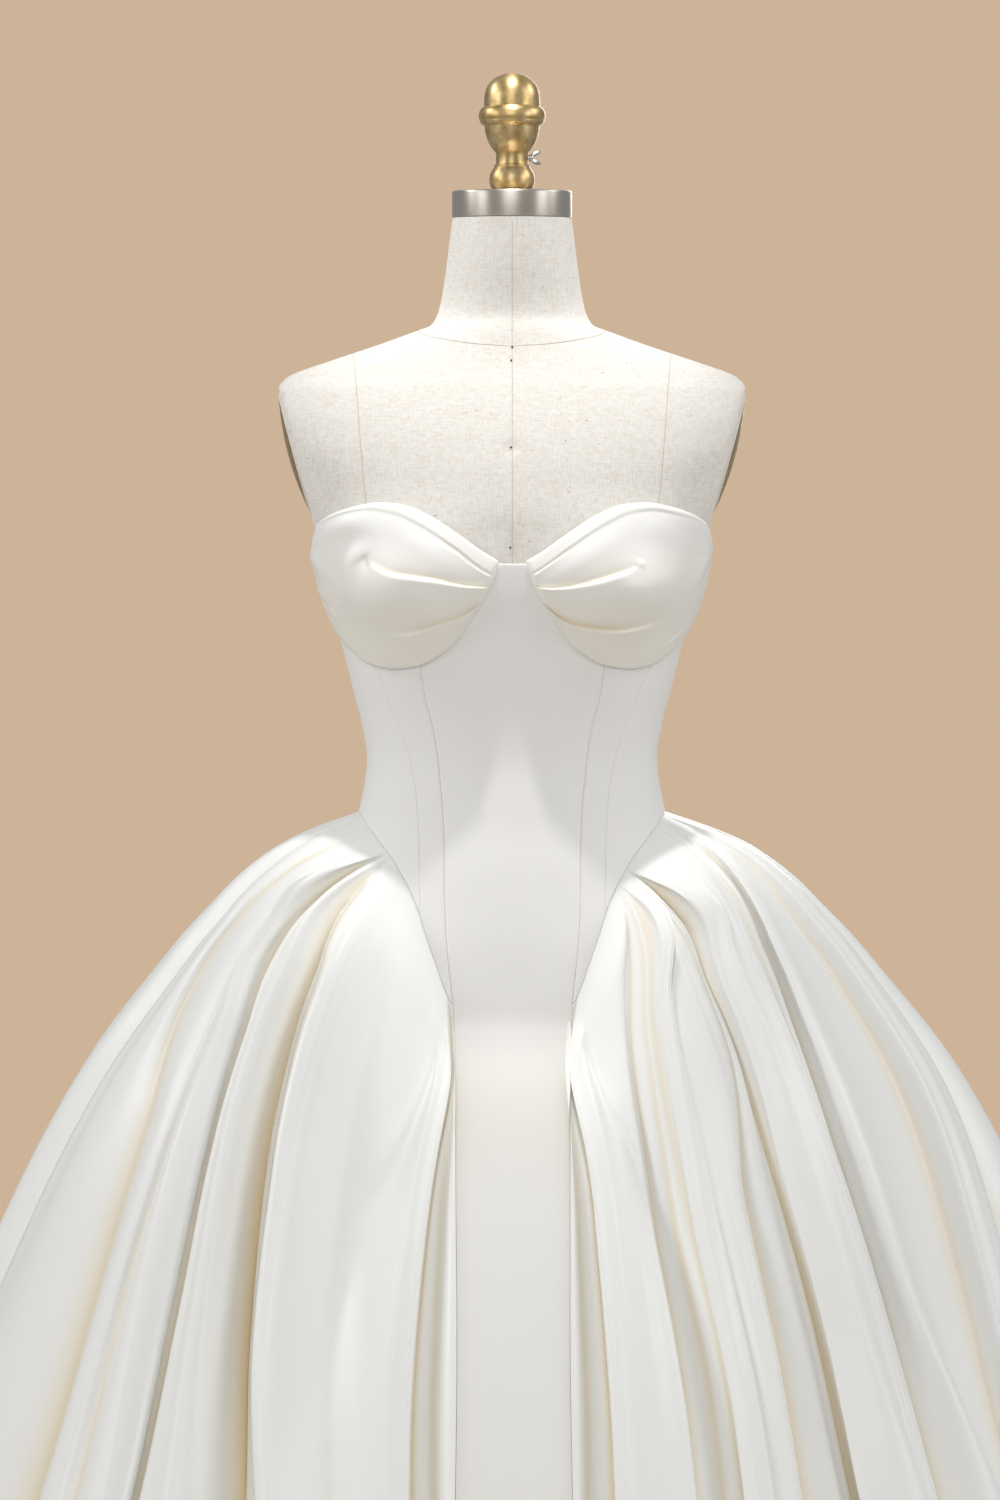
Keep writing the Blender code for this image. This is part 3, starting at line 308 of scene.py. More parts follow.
spot = add_node(tree, "ShaderNodeTexCoord").outputs["Object"]
for pin_height, reach, deep in ((1.3245, 0.011, 1.0), (1.2445, 0.013, 1.3)):
    away = add_node(
        tree, "ShaderNodeVectorMath", {0: spot}, {1: (-0.0012, -0.098, pin_height)}, operation="DISTANCE",
    ).outputs["Value"]
    dimple = add_node(
        tree, "ShaderNodeMapRange", {"Value": away}, {"From Max": reach}, interpolation_type="SMOOTHERSTEP",
    ).outputs[0]
    woven = bump(tree, shader, dimple, deep, woven)

HEIGHTS = np.concatenate([
    np.linspace(0.740, 0.98, 25), np.linspace(0.988, 1.26, 46), np.linspace(1.264, 1.36, 30),
    np.linspace(1.3625, 1.4500, 46), np.linspace(1.454, NECK_TOP, 16),
])
around = np.arange(180) * 2.0 - 180.0
add_piece(
    "form_linen_torso", tube_mesh("form_linen_torso", form_points(around[None], HEIGHTS[:, None])), linen, STANDING,
    ["form_torso"], 60,
)

# Seams of the linen cover: two edges are pressed open below, and the line between them lies a little
# proud of the shell. The neck seam dips at the front, the princess lines run from shoulder to bust.
PRINCESS = np.array([  # height, how far out to the side
    (1.180, 0.0990), (1.230, 0.1100), (1.283, 0.1165), (1.330, 0.1210), (1.365, 0.1240), (1.390, 0.1265),
    (1.4055, 0.1285),
])
NECK_SEAM = np.array([  # angle, height
    (0.0, 1.4085), (25.0, 1.4105), (50.0, 1.4165), (75.0, 1.4260), (95.0, 1.4310), (130.0, 1.4300), (180.0, 1.4280),
])
SEAM_THREAD = 0.0004


def begun_tree(name, **inputs):
    """A Geometry Nodes tree with its named inputs, and the sockets that they come in by."""
    tree = bpy.data.node_groups.new(name, "GeometryNodeTree")
    for socket, kind in inputs.items():
        tree.interface.new_socket(name=socket, in_out="INPUT", socket_type="NodeSocket" + kind)
    tree.interface.new_socket(name="Result", in_out="OUTPUT", socket_type="NodeSocketGeometry")
    return tree, add_node(tree, "NodeGroupInput").outputs


def ended_tree(tree, shape, finish):
    """Makes the tree's shape real, with its material, and passes it out."""
    whole = add_node(tree, "GeometryNodeRealizeInstances", {"Geometry": shape})
    coloured = add_node(tree, "GeometryNodeSetMaterial", {"Geometry": whole.outputs[0], "Material": finish})
    add_node(tree, "NodeGroupOutput", {"Result": coloured.outputs[0]})
    return tree


def path_tube_tree(name):
    """A tree that draws a round cord along the edges of a mesh."""
    tree, given = begun_tree(name, Path="Geometry", Radius="Float", Sides="Int", Finish="Material")
    line = add_node(tree, "GeometryNodeMeshToCurve", {"Mesh": given["Path"]})
    ring = add_node(
        tree, "GeometryNodeCurvePrimitiveCircle", {"Radius": given["Radius"], "Resolution": given["Sides"]},
    )
    cord = add_node(
        tree, "GeometryNodeCurveToMesh", {"Curve": line.outputs[0], "Profile Curve": ring.outputs[0]},
        {"Fill Caps": True},
    )
    return ended_tree(tree, cord.outputs[0], given["Finish"])


def line_mesh(name, paths):
    """A mesh of edges only: one chain of points for each path, closed where the flag says so."""
    points, edges = [], []
    for path, closed in paths:
        first = len(points)
        points += [tuple(p) for p in path]
        edges += [(first + i, first + i + 1) for i in range(len(path) - 1)]
        if closed:
            edges.append((len(points) - 1, first))
    mesh = bpy.data.meshes.new(name)
    mesh.from_pydata(points, edges, [])
    return mesh


def made_by_nodes(name, mesh, tree, inputs):
    """Runs a node tree on a mesh and returns the result as a plain mesh."""
    carrier = new_object(name + "_carrier", mesh)
    modifier = carrier.modifiers.new("nodes", "NODES")
    modifier.node_group = tree
    sockets = {s.name: s.identifier for s in tree.interface.items_tree if s.in_out == "INPUT"}
    for socket, value in inputs.items():
        modifier[sockets[socket]] = value
    bpy.context.view_layer.update()
    depsgraph = bpy.context.evaluated_depsgraph_get()
    result = bpy.data.meshes.new_from_object(carrier.evaluated_get(depsgraph))
    carrier.modifiers.clear()
    bpy.data.objects.remove(carrier)
    result.name = name
    result.materials.clear()
    return result


def add_drawn(name, paths, tree, finish, **sizes):
    """A small piece of the form's cover that a node tree draws on lines or points."""
    drawn = made_by_nodes(name, line_mesh(name + "_lines", paths), tree, {**sizes, "Finish": finish})
    add_piece(name, drawn, finish, STANDING, (), 60)


cord_tree = path_tube_tree("cord_along_path")
down_front = np.linspace(1.516, 1.18, 120)
princess = np.linspace(1.4055, 1.18, 90)
turns = np.linspace(0, 90, 361)
sideways = form_points(turns[None], princess[:, None])[..., 0]
princess_angle = np.array([np.interp(out, row, turns) for out, row in zip(through(PRINCESS, 1, princess), sideways)])
ring_angles = np.arange(120) * 3.0 - 180.0
seam_sink_and_panel_shade = -SEAM_THREAD * 0.35
form_seams = [
    (form_points(0, down_front, seam_sink_and_panel_shade), False), (form_points(180, down_front, seam_sink_and_panel_shade), False),
    (form_points(ring_angles, through(NECK_SEAM, 1, np.abs(ring_angles)), seam_sink_and_panel_shade), True),
]
for side in (-1, 1):
    form_seams.append((form_points(side * princess_angle, princess, seam_sink_and_panel_shade), False))
    form_seams.append((form_points(side * (180 - 0.9 * princess_angle), princess, seam_sink_and_panel_shade), False))
seam_linen, tree, shader = new_material("linen_seam_thread", "#cfc5b4", 0.8)
vary_roughness(tree, shader, grain(tree, 1.2), 0.7, 0.9)
add_drawn("form_seam_lines", form_seams, cord_tree, seam_linen, Radius=SEAM_THREAD, Sides=6)

# ---------------------------------------------------------------- armhole plates
# A shallow dome of aged sheet brass closes each armhole, pinned to the shell inside its rolled rim. A
# thin piping of the cover's linen lies between the brass and the armhole's edge.
PLATE_TALL, PLATE_DEEP, PLATE_RIM, PLATE_DOME = 0.0490, 0.0400, 0.0012, 0.0062
PLATE_MIDDLE, PIPING = 1.3275, 0.0012


def cord_ring(count, wide, tall):
    """Points of an ellipse in the XY plane."""
    turns = [math.tau * i / count for i in range(count)]
    return [(wide * math.cos(t), tall * math.sin(t), 0.0) for t in turns]


def add_patina(tree, shader, size_mm, stops):
    """Tarnish in soft blotches of about a size in millimetres."""
    blotches = grain(tree, size_mm, 5, (1.0, 1.0, 1.0), 0.62)
    tree.links.new(ramp(tree, blotches, stops), shader.inputs["Base Color"])


antique_brass, tree, shader = new_material("antique_sheet_brass", "#c2a46e", 0.36, Metallic=1.0)
add_patina(tree, shader, 16, [(0.34, "#a88a54"), (0.5, "#c0a068"), (0.68, "#d0b27a")])
vary_roughness(tree, shader, grain(tree, 6, 4), 0.28, 0.5)
bump(tree, shader, grain(tree, 1.4, 3), 0.02)
plate_profile = [(0.0, 0.0), (0.0, 0.985), (0.0003, 0.996), (PLATE_RIM * 0.6, 1.0), (PLATE_RIM, 0.994)]
plate_profile += [(PLATE_RIM * 1.1, 0.985), (PLATE_RIM * 1.02, 0.968)]
plate_profile += [
    (PLATE_RIM + (PLATE_DOME - PLATE_RIM) * (1 - r * r), r) for r in (0.955, 0.9, 0.8, 0.68, 0.54, 0.4, 0.26, 0.13)
]
plate_profile.append((PLATE_DOME, 0.0))
for side, hand in ((-1, "left"), (1, "right")):
    lift = 0.0003 / math.cos(math.atan(ARMHOLE_SLOPE))
    reach = ARMHOLE_REACH + (PLATE_MIDDLE - ARMHOLE_FOOT) * ARMHOLE_SLOPE + lift
    placed = Matrix.Translation((side * reach, 0.004, PLATE_MIDDLE)) @ Matrix.Rotation(
        side * (math.pi / 2 + math.atan(ARMHOLE_SLOPE)), 4, "Y"
    )
    add_turned(
        f"arm_plate_{hand}_brass", plate_profile, 72, antique_brass, f"arm_plate_{hand}", 30,
        placed @ Matrix.Diagonal((PLATE_TALL, PLATE_DEEP, 1, 1)),
    )
    ring = [placed @ Vector(at) for at in cord_ring(96, PLATE_TALL + PIPING * 0.9, PLATE_DEEP + PIPING * 0.9)]
    add_drawn(f"armhole_piping_{hand}", [(ring, True)], cord_tree, linen, Radius=PIPING, Sides=8)

# ---------------------------------------------------------------- neck cap, finial and wing screw
# A spun steel cap, brushed round, closes the neck. On it stands a turned brass finial, the knob that the
# form is lifted by, and a plated wing screw in the finial's cross hole locks the pole inside.
CAP_RADIUS, CAP_HEIGHT, CAP_ROUND = 0.0488, 0.0215, 0.0018
FINIAL = [  # height above the neck's top face, radius
    (0.0221, 0.0000), (0.0221, 0.0142), (0.0224, 0.0152), (0.0238, 0.0166), (0.0258, 0.0177), (0.0282, 0.0184),
    (0.0306, 0.0186), (0.0330, 0.0184), (0.0354, 0.0178), (0.0376, 0.0168), (0.0396, 0.0156), (0.0408, 0.0147),
    (0.0414, 0.0144), (0.0420, 0.0145), (0.0427, 0.0144), (0.0431, 0.0138), (0.0434, 0.0132), (0.0442, 0.0130),
    (0.0516, 0.0131), (0.0527, 0.0134), (0.0534, 0.0141), (0.0548, 0.0153), (0.0568, 0.0169), (0.0594, 0.0185),
    (0.0624, 0.0199), (0.0656, 0.0210), (0.0690, 0.0218), (0.0722, 0.0223), (0.0741, 0.0226), (0.0747, 0.0232),
    (0.0751, 0.0244), (0.0756, 0.0252), (0.0766, 0.0259), (0.0778, 0.0263), (0.0784, 0.0262), (0.0790, 0.0264),
    (0.0800, 0.0269), (0.0815, 0.0272), (0.0832, 0.0271), (0.0849, 0.0268), (0.0865, 0.0262), (0.0879, 0.0252),
    (0.0888, 0.0241), (0.0893, 0.0232), (0.0899, 0.0228), (0.0935, 0.0228), (0.0972, 0.0226), (0.1006, 0.0221),
    (0.1038, 0.0212), (0.1067, 0.0198), (0.1093, 0.0179), (0.1115, 0.0154), (0.1133, 0.0125), (0.1147, 0.0093),
    (0.1157, 0.0060), (0.1163, 0.0029), (0.1164, 0.0000),
]
SCREW_HEIGHT, SCREW_RADIUS, WING_HALF = 0.0486, 0.0021, 0.0006
WING_SCREW = [  # distance out along the screw, radius
    (0.0062, 0.0), (0.0062, 0.0018), (0.0065, SCREW_RADIUS), (0.0140, SCREW_RADIUS), (0.0140, 0.0029),
    (0.0143, 0.0031), (0.0158, 0.0031), (0.0163, 0.0029), (0.0169, 0.0024), (0.0170, 0.0020), (0.0170, 0.0),
]
WING = [  # one wing: out along the screw, across it
    (0.0156, 0.0), (0.0172, 0.0004), (0.0190, 0.0010), (0.0206, 0.0019), (0.0222, 0.0030), (0.0232, 0.0042),
    (0.0233, 0.0053), (0.0224, 0.0059), (0.0209, 0.0060), (0.0193, 0.0058), (0.0179, 0.0052), (0.0169, 0.0042),
    (0.0161, 0.0028), (0.0156, 0.0014),
]


def neck_frame():
    """The middle of the neck's top face, with +Z square to that face."""
    shift = float(through(FORM, 5, NECK_TOP))
    middle = Vector((0, shift, NECK_TOP + shift * math.tan(NECK_TILT)))
    return Matrix.Translation(middle) @ Matrix.Rotation(NECK_TILT, 4, "X")


def plate_mesh(name, outline, drawn, edge, matrix=Matrix.Identity(4)):
    """A flat plate with softened edges: an outline of points, drawn out along a vector."""
    data = bmesh.new()
    near = [data.verts.new(at) for at in outline]
    far = [data.verts.new(Vector(at) + Vector(drawn)) for at in outline]
    data.faces.new(near)
    data.faces.new(far)
    for i in range(len(near)):
        j = (i + 1) % len(near)
        data.faces.new((near[i], near[j], far[j], far[i]))
    bmesh.ops.recalc_face_normals(data, faces=data.faces)
    rims = [e for e in data.edges if (e.verts[0] in near) == (e.verts[1] in near)]
    bmesh.ops.bevel(data, geom=rims, offset=edge, segments=2, affect="EDGES", profile=0.5)
    mesh = plain_mesh(name, data)
    mesh.transform(matrix)
    return mesh


def joined(name, meshes):
    """Several bodies as one mesh."""
    data = bmesh.new()
    for mesh in meshes:
        data.from_mesh(mesh)
    return plain_mesh(name, data)


brushed_steel, tree, shader = new_material(
    "brushed_stainless_steel", "#d2cac0", 0.4, Metallic=1.0, Anisotropic=0.85, Anisotropic_Rotation=0.25,
)
rings = grain(tree, 0.9, 3, (0.02, 0.02, 1.0), 0.6)
vary_roughness(tree, shader, rings, 0.34, 0.46)
bump(tree, shader, rings, 0.012)
top = 0.0003 + CAP_HEIGHT
corner = [(top - CAP_ROUND * (1 - math.sin(a)), CAP_RADIUS - CAP_ROUND * (1 - math.cos(a)))
          for a in np.radians(np.linspace(0, 90, 7))]
foot_corner = [(0.0003, 0.0), (0.0003, CAP_RADIUS - 0.0009), (0.0006, CAP_RADIUS - 0.0003), (0.0013, CAP_RADIUS)]
add_turned(
    "neck_cap_steel", [*foot_corner, *corner, (top, 0.0)], 128, brushed_steel, "neck_cap", 30,
    neck_frame(),
)

cast_brass, tree, shader = new_material(
    "turned_cast_brass", "#d0b37a", 0.4, Metallic=1.0, Anisotropic=0.55, Anisotropic_Rotation=0.25,
)
add_patina(tree, shader, 9, [(0.33, "#b89c66"), (0.5, "#cfb37e"), (0.67, "#e0c99c")])
turning = grain(tree, 1.1, 3, (0.03, 0.03, 1.0), 0.6)
vary_roughness(tree, shader, turning, 0.32, 0.5)
bump(tree, shader, turning, 0.012)
add_turned("finial_brass", FINIAL, 96, cast_brass, "finial", 28, neck_frame())

nickel, tree, shader = new_material("nickel_plated_steel", "#c3c3c1", 0.22, Metallic=1.0)
vary_roughness(tree, shader, grain(tree, 1.5, 3), 0.16, 0.34)
screw_frame = neck_frame() @ Matrix.Translation((0, 0, SCREW_HEIGHT))
outward = screw_frame @ Matrix.Rotation(math.pi / 2, 4, "Y")
wings = [
    plate_mesh("wing", [(x, -WING_HALF, sign * z) for x, z in WING], (0, 2 * WING_HALF, 0), 0.0003, screw_frame)
    for sign in (-1, 1)
]
add_piece(
    "wing_screw_nickel",
    joined("wing_screw_nickel", [turned_mesh("shank", WING_SCREW, 40, outward), *wings]),
    nickel, "thumbscrew", ["thumbscrew"], 35,
)

# Four steel pins with brown glass heads, pushed in at centre front where the cover's tapes are marked.
PIN_HEIGHTS, PIN_SIDEWAYS, PIN_HEAD = (1.4075, 1.3965, 1.3245, 1.2445), (0.0, -0.7, -0.7, -0.9), 0.0009


def heads_tree(name):
    """A tree that sets a round head on every point of a mesh."""
    tree, given = begun_tree(name, Points="Geometry", Radius="Float", Finish="Material")
    ball = add_node(tree, "GeometryNodeMeshIcoSphere", {"Radius": given["Radius"]}, {"Subdivisions": 3})
    spread = add_node(
        tree, "GeometryNodeInstanceOnPoints", {"Points": given["Points"], "Instance": ball.outputs["Mesh"]},
    )
    return ended_tree(tree, spread.outputs[0], given["Finish"])


pin_glass, tree, shader = new_material("brown_pin_head", "#5a3c22", 0.25, Coat_Weight=0.4)
vary_roughness(tree, shader, grain(tree, 0.6), 0.15, 0.4)
pin_points = form_points(np.array(PIN_SIDEWAYS), np.array(PIN_HEIGHTS), 0.0003)
add_drawn(
    "centre_front_pins", [([at], False) for at in pin_points], heads_tree("head_on_every_point"), pin_glass,
    Radius=PIN_HEAD,
)

# ---------------------------------------------------------------- bodice
# Corset panels in heavy duchess satin over an underlining, boned so that they lie smooth. Each edge is
# turned to the back and sewn, so the seams between the panels are fine sunken lines.
EASE, CLOTH_WALL, SEAM_GAP, SIDE_SEAM = 0.0009, 0.0020, 0.0003, 97
V_FOOT_ANGLE = 22.4  # half the front panel, at the foot of the V
V_FOOT_HEIGHT, PANEL_TOP = 0.885, 1.232  # the foot of the V, and the front panel's upper edge
TURN_DEPTH, TURN_REACH = 0.0009, 0.0009  # how deep and how far an edge rolls in at its seam
EDGE_STEPS, SIDE_EDGES = np.array([0.0003, 0.0007, 0.0012, 0.0020]), ("first_column", "last_column")
WAIST_SEAM = np.array([  # from the foot of the V round to centre back: angle, height
    (0.0, V_FOOT_HEIGHT), (V_FOOT_ANGLE, V_FOOT_HEIGHT), (25.2, 0.896), (29.5, 0.9196), (33.0, 0.9376), (36.9, 0.957),
    (43.0, 0.979), (52.1, 1.0006), (58.2, 1.010), (65.5, 1.020), (79.8, 1.032), (95.0, 1.035),
    (140.0, 1.030), (180.0, 1.022),
])
NECKLINE = np.array([  # upper edge beyond the cups: angle, height
    (0.0, PANEL_TOP), (5.4, PANEL_TOP), (12.9, 1.238), (20.0, 1.248), (31.0, 1.263), (40.0, 1.2715),
    (48.5, 1.2735), (57.0, 1.2715), (65.0, 1.268), (73.7, 1.264), (90.0, 1.254), (97.0, 1.2475),
    (110.0, 1.236), (140.0, 1.214), (180.0, 1.205),
])
BODICE_SEAMS = np.array([  # height, angle of the front panel's edge, of the side front's edge
    (V_FOOT_HEIGHT, V_FOOT_ANGLE, 30.0), (0.920, 24.7, 34.0), (0.951, 26.6, 36.0), (0.967, 27.5, 36.9),
    (1.003, 29.6, 39.9), (1.024, 31.2, 42.2), (1.045, 33.0, 44.5), (1.062, 34.8, 46.8),
    (1.083, 36.4, 50.5), (1.103, 37.9, 53.6), (1.130, 40.0, 57.4), (1.1515, 40.0, 60.6),
    (1.160, 33.0, 61.2), (1.171, 26.0, 61.8), (1.184, 20.5, 62.4), (1.199, 15.5, 63.0),
    (1.211, 12.0, 63.5), (1.221, 9.5, 64.0), (1.235, 7.5, 64.5),
])
SIDE_TOP = np.array([  # upper edge of the side front and side panels: angle, height
    (30.0, 1.1585), (40.0, 1.1585), (50.0, 1.1565), (56.0, 1.1585), (62.0, 1.170), (68.0, 1.196),
    (73.0, 1.230), (78.0, 1.2590), (82.0, 1.2605), (90.0, 1.254), (97.0, 1.2475),
])


def waist_height(angle):
    """Height of the waist seam, which is the same on both sides."""
    return through(WAIST_SEAM, 1, np.abs(angle))


def seam_angle(column):
    """A princess seam of the bodice, as its angle at any height."""
    return lambda height: through(BODICE_SEAMS, column, height)


def straight(angle):
    """A seam that runs straight down at one angle."""
    return lambda height: angle + 0 * height


def lap_height(angle):
    """Upper edge of the side panels: a lap under the cup's foot, then the neckline beyond the cup."""
    return through(SIDE_TOP, 1, np.abs(angle))


def neckline_height(angle):
    """Height of the upper edge."""
    return through(NECKLINE, 1, np.abs(angle))


def unit(vectors):
    """The same directions, one long."""
    return vectors / np.linalg.norm(vectors, axis=-1, keepdims=True)


def bodice_wall(angle, height):
    """Outer and inner points of the bodice's wall, which lies smooth over the form."""
    radius = form_radius(angle, height) + EASE
    return at_polar(angle, radius + CLOTH_WALL, height), at_polar(angle, radius, height)


def part_edges(faces, sides):
    """Draws the named sides of a wall in by half a seam's gap: the ends of its rows and columns."""
    parted = []
    for points in faces:
        points = points.copy()
        if "first_column" in sides:
            points[:, 0] += unit(points[:, 1] - points[:, 0]) * SEAM_GAP / 2
        if "last_column" in sides:
            points[:, -1] += unit(points[:, -2] - points[:, -1]) * SEAM_GAP / 2
        if "top" in sides:
            points[0, :, 2] -= SEAM_GAP / 2
        if "foot" in sides:
            points[-1, :, 2] += SEAM_GAP / 2
        parted.append(points)
    return parted


def panel_between(near, far, shares, foot, top, levels):
    """Angles and heights of a bodice panel: its columns at shares of the way from near to far."""
    ends = []
    for edge in (top, foot):
        height = np.full_like(shares, 1.1)
        for _ in range(40):
            height = edge(near(height) + (far(height) - near(height)) * shares)
        ends.append(height)
    height = ends[0] + (ends[1] - ends[0]) * levels[:, None]
    return near(height) + (far(height) - near(height)) * shares, height


def seam_shares(count, width):
    """Even shares of a panel's width, with closer ones where its edges roll into the seams."""
    steps = EDGE_STEPS / width
    return np.unique(np.concatenate([np.linspace(0, 1, count), steps, 1 - steps]))


def rolled(outer, inner, sides):
    """Rolls the named edges of a wall in towards its back, as a turned and sewn edge does."""
    lowered = outer.copy()
    for side in sides:
        axis = 0 if side in ("top", "foot") else 1
        run = np.linalg.norm(np.diff(outer, axis=axis), axis=-1)
        if side in ("foot", "last_column"):
            run = np.flip(run, axis)
        run = np.cumsum(run, axis)
        run = np.insert(run, 0, 0.0, axis)
        if side in ("foot", "last_column"):
            run = np.flip(run, axis)
        lowered += unit(inner - outer) * (TURN_DEPTH * np.exp(-((run / TURN_REACH) ** 2)))[..., None]
    return lowered


def cloth_mesh(name, outer, inner, painted_shade=None):
    """A closed wall between two grids of points, with its cut mapped in metres and a share of painted shade at each
    point.
    """
    rows, columns = outer.shape[:2]
    face = np.arange(rows * columns).reshape(rows, columns)
    back = face + rows * columns
    front = np.stack([face[:-1, :-1], face[:-1, 1:], face[1:, 1:], face[1:, :-1]], -1).reshape(-1, 4)
    behind = np.stack([back[:-1, :-1], back[1:, :-1], back[1:, 1:], back[:-1, 1:]], -1).reshape(-1, 4)
    loop = np.concatenate([face[0, :-1], face[:-1, -1], face[-1, :0:-1], face[:0:-1, 0]])
    after = np.roll(loop, -1)
    rim = np.stack([after, loop, loop + rows * columns, after + rows * columns], -1)
    quads = np.concatenate([front, behind, rim])
    points = np.concatenate([outer.reshape(-1, 3), inner.reshape(-1, 3)])
    i, j = rows // 2, columns // 2
    across = np.cross(outer[i, j + 1] - outer[i, j], outer[i + 1, j] - outer[i, j])
    if np.dot(across, outer[i, j] - inner[i, j]) < 0:
        quads = quads[:, ::-1]
    mesh = bpy.data.meshes.new(name)
    mesh.from_pydata(points.tolist(), [], quads.tolist())
    along = np.insert(np.cumsum(np.linalg.norm(np.diff(outer, axis=1), axis=-1), 1), 0, 0.0, 1)
    down = np.insert(np.cumsum(np.linalg.norm(np.diff(outer, axis=0), axis=-1), 0), 0, 0.0, 0)
    place = np.tile(np.stack([along, -down], -1).reshape(-1, 2), (2, 1))
    corner = np.empty(len(mesh.loops), np.int32)
    mesh.loops.foreach_get("vertex_index", corner)
    mesh.uv_layers.new(name="cloth").data.foreach_set("uv", place[corner].ravel())
    marked = np.zeros(rows * columns) if painted_shade is None else np.asarray(painted_shade, float).ravel()
    mesh.attributes.new("painted_shade", "FLOAT", "POINT").data.foreach_set("value", np.tile(marked, 2))
    return mesh


def sewn(outer, inner, turned, parted):
    """A wall with the named edges turned in, and the named ones drawn back from their seams."""
    return part_edges((rolled(outer, inner, turned), inner), parted)


def add_cloth(panel, wall, painted_shade, finish, slot, held, rests_on, width, length, area):
    """A piece of the gown from its wall's two grids of points; the size of its cut is not used."""
    name = panel + "_satin"
    cloth = add_piece(name, cloth_mesh(name, *wall, painted_shade), finish, STANDING, [panel], 60)


# Duchess satin: a dense weave with its threads floated on the face, which gives a soft, wide gleam.
# Warm shade is painted into its folds by colour. Its threads are 0.1 mm apart and are drawn about
# twelve times as coarse.
def satin_cloth(name, colour, crease_shade_colour, deep_shade_colour, depth_mm, dull, shine):
    """A satin with its weave raised by a depth, its colour on the face, and painted shade colours for its folds and
    deep in them.
    """
    made, tree, shader = new_material(
        name, colour, dull, Sheen_Weight=0.1, Sheen_Roughness=0.3, Specular_IOR_Level=shine,
    )
    place = add_node(tree, "ShaderNodeUVMap", uv_map="cloth").outputs["UV"]
    threads = [
        add_node(
            tree, "ShaderNodeTexNoise",
            {"Vector": add_node(tree, "ShaderNodeMapping", {"Vector": place}, {"Scale": way}).outputs[0]},
            {"Scale": 1000 / size, "Detail": 3.0, "Roughness": 0.6},
        ).outputs["Fac"]
        for way, size in (((1.0, 0.45, 1.0), 1.3), ((0.5, 1.0, 1.0), 1.7))
    ]
    bump(tree, shader, combined(tree, "ADD", *threads), depth_mm)
    vary_roughness(tree, shader, grain(tree, 25, 3), dull - 0.06, dull + 0.06)
    # Painted shade: a share stored on each point of the cloth mixes its colour towards the two shade colours.
    depth = add_node(tree, "ShaderNodeAttribute", attribute_name="painted_shade").outputs["Fac"]
    tone = ramp(tree, depth, [(0.0, colour), (0.4, crease_shade_colour), (0.95, deep_shade_colour)])
    # Soft random blotches lean the colour a tenth of the way towards the crease shade colour.
    tint = combined(tree, "MULTIPLY", grain(tree, 60, 3), 0.10)
    tree.links.new(mix_colours(tree, tint, tone, crease_shade_colour), shader.inputs["Base Color"])
    return made


# Its second and third colours are painted shade, which only the front panel uses.
bodice_satin = satin_cloth("duchess_satin_bodice", "#f4f2ee", "#e2ded5", "#d6c9ac", 0.035, 0.54, 0.25)
first, second = seam_angle(1), seam_angle(2)
corset = [  # panel, its two seams and upper edge, columns, width, then its cut: width, length, area
    ("side_front", first, second, lap_height, 26, 0.060, 0.076, 0.287, 0.0068),
    ("side", second, straight(SIDE_SEAM), lap_height, 40, 0.110, 0.165, 0.249, 0.0219),
    ("back", straight(SIDE_SEAM), straight(180.0), neckline_height, 56, 0.200, 0.199, 0.219, 0.0318),
]
drop = seam_shares(90, 0.2)
for sign, hand in ((-1, "left"), (1, "right")):
    for panel, near, far, upper, count, width, *cut in corset:
        angle, height = panel_between(near, far, seam_shares(count, width), waist_height, upper, drop)
        if sign < 0:
            angle, height = -angle[:, ::-1], height[:, ::-1]
        wall = sewn(*bodice_wall(angle, height), (*SIDE_EDGES, "foot", "top"), (*SIDE_EDGES, "foot"))
        add_cloth(
            f"{panel}_{hand}", wall, None, bodice_satin, "satin_bodice", "stretched", ["form_linen_torso"], *cut,
        )

# ---------------------------------------------------------------- cups
# Satin gathered over two moulded cups. Its pleats are laid upwards from the inner edge by centre front
# and fade out over the bust. The cups are sewn over the corset panels' upper edges.
CUP_WALL, CUP_LIFT = 0.0030, 0.0009
CUP_INNER = np.array([(12.4, 1.199), (9.2, 1.211), (7.0, 1.221), (5.4, 1.2335)])
CUP_BOTTOM = np.array([
    (12.4, 1.199), (17.8, 1.1836), (22.9, 1.171), (30.0, 1.160), (40.0, 1.1515), (50.0, 1.1495),
    (57.0, 1.1515), (64.4, 1.157), (70.7, 1.1655), (78.0, 1.177),
])
CUP_TOP = np.array([
    (5.4, 1.2335), (12.9, 1.243), (20.0, 1.254), (31.2, 1.270), (40.6, 1.279), (48.5, 1.281),
    (56.8, 1.278), (65.0, 1.2725), (72.0, 1.2665),
])
CUP_OUTER = np.array([(78.0, 1.177), (83.0, 1.195), (85.5, 1.217), (83.5, 1.242), (72.0, 1.2665)])
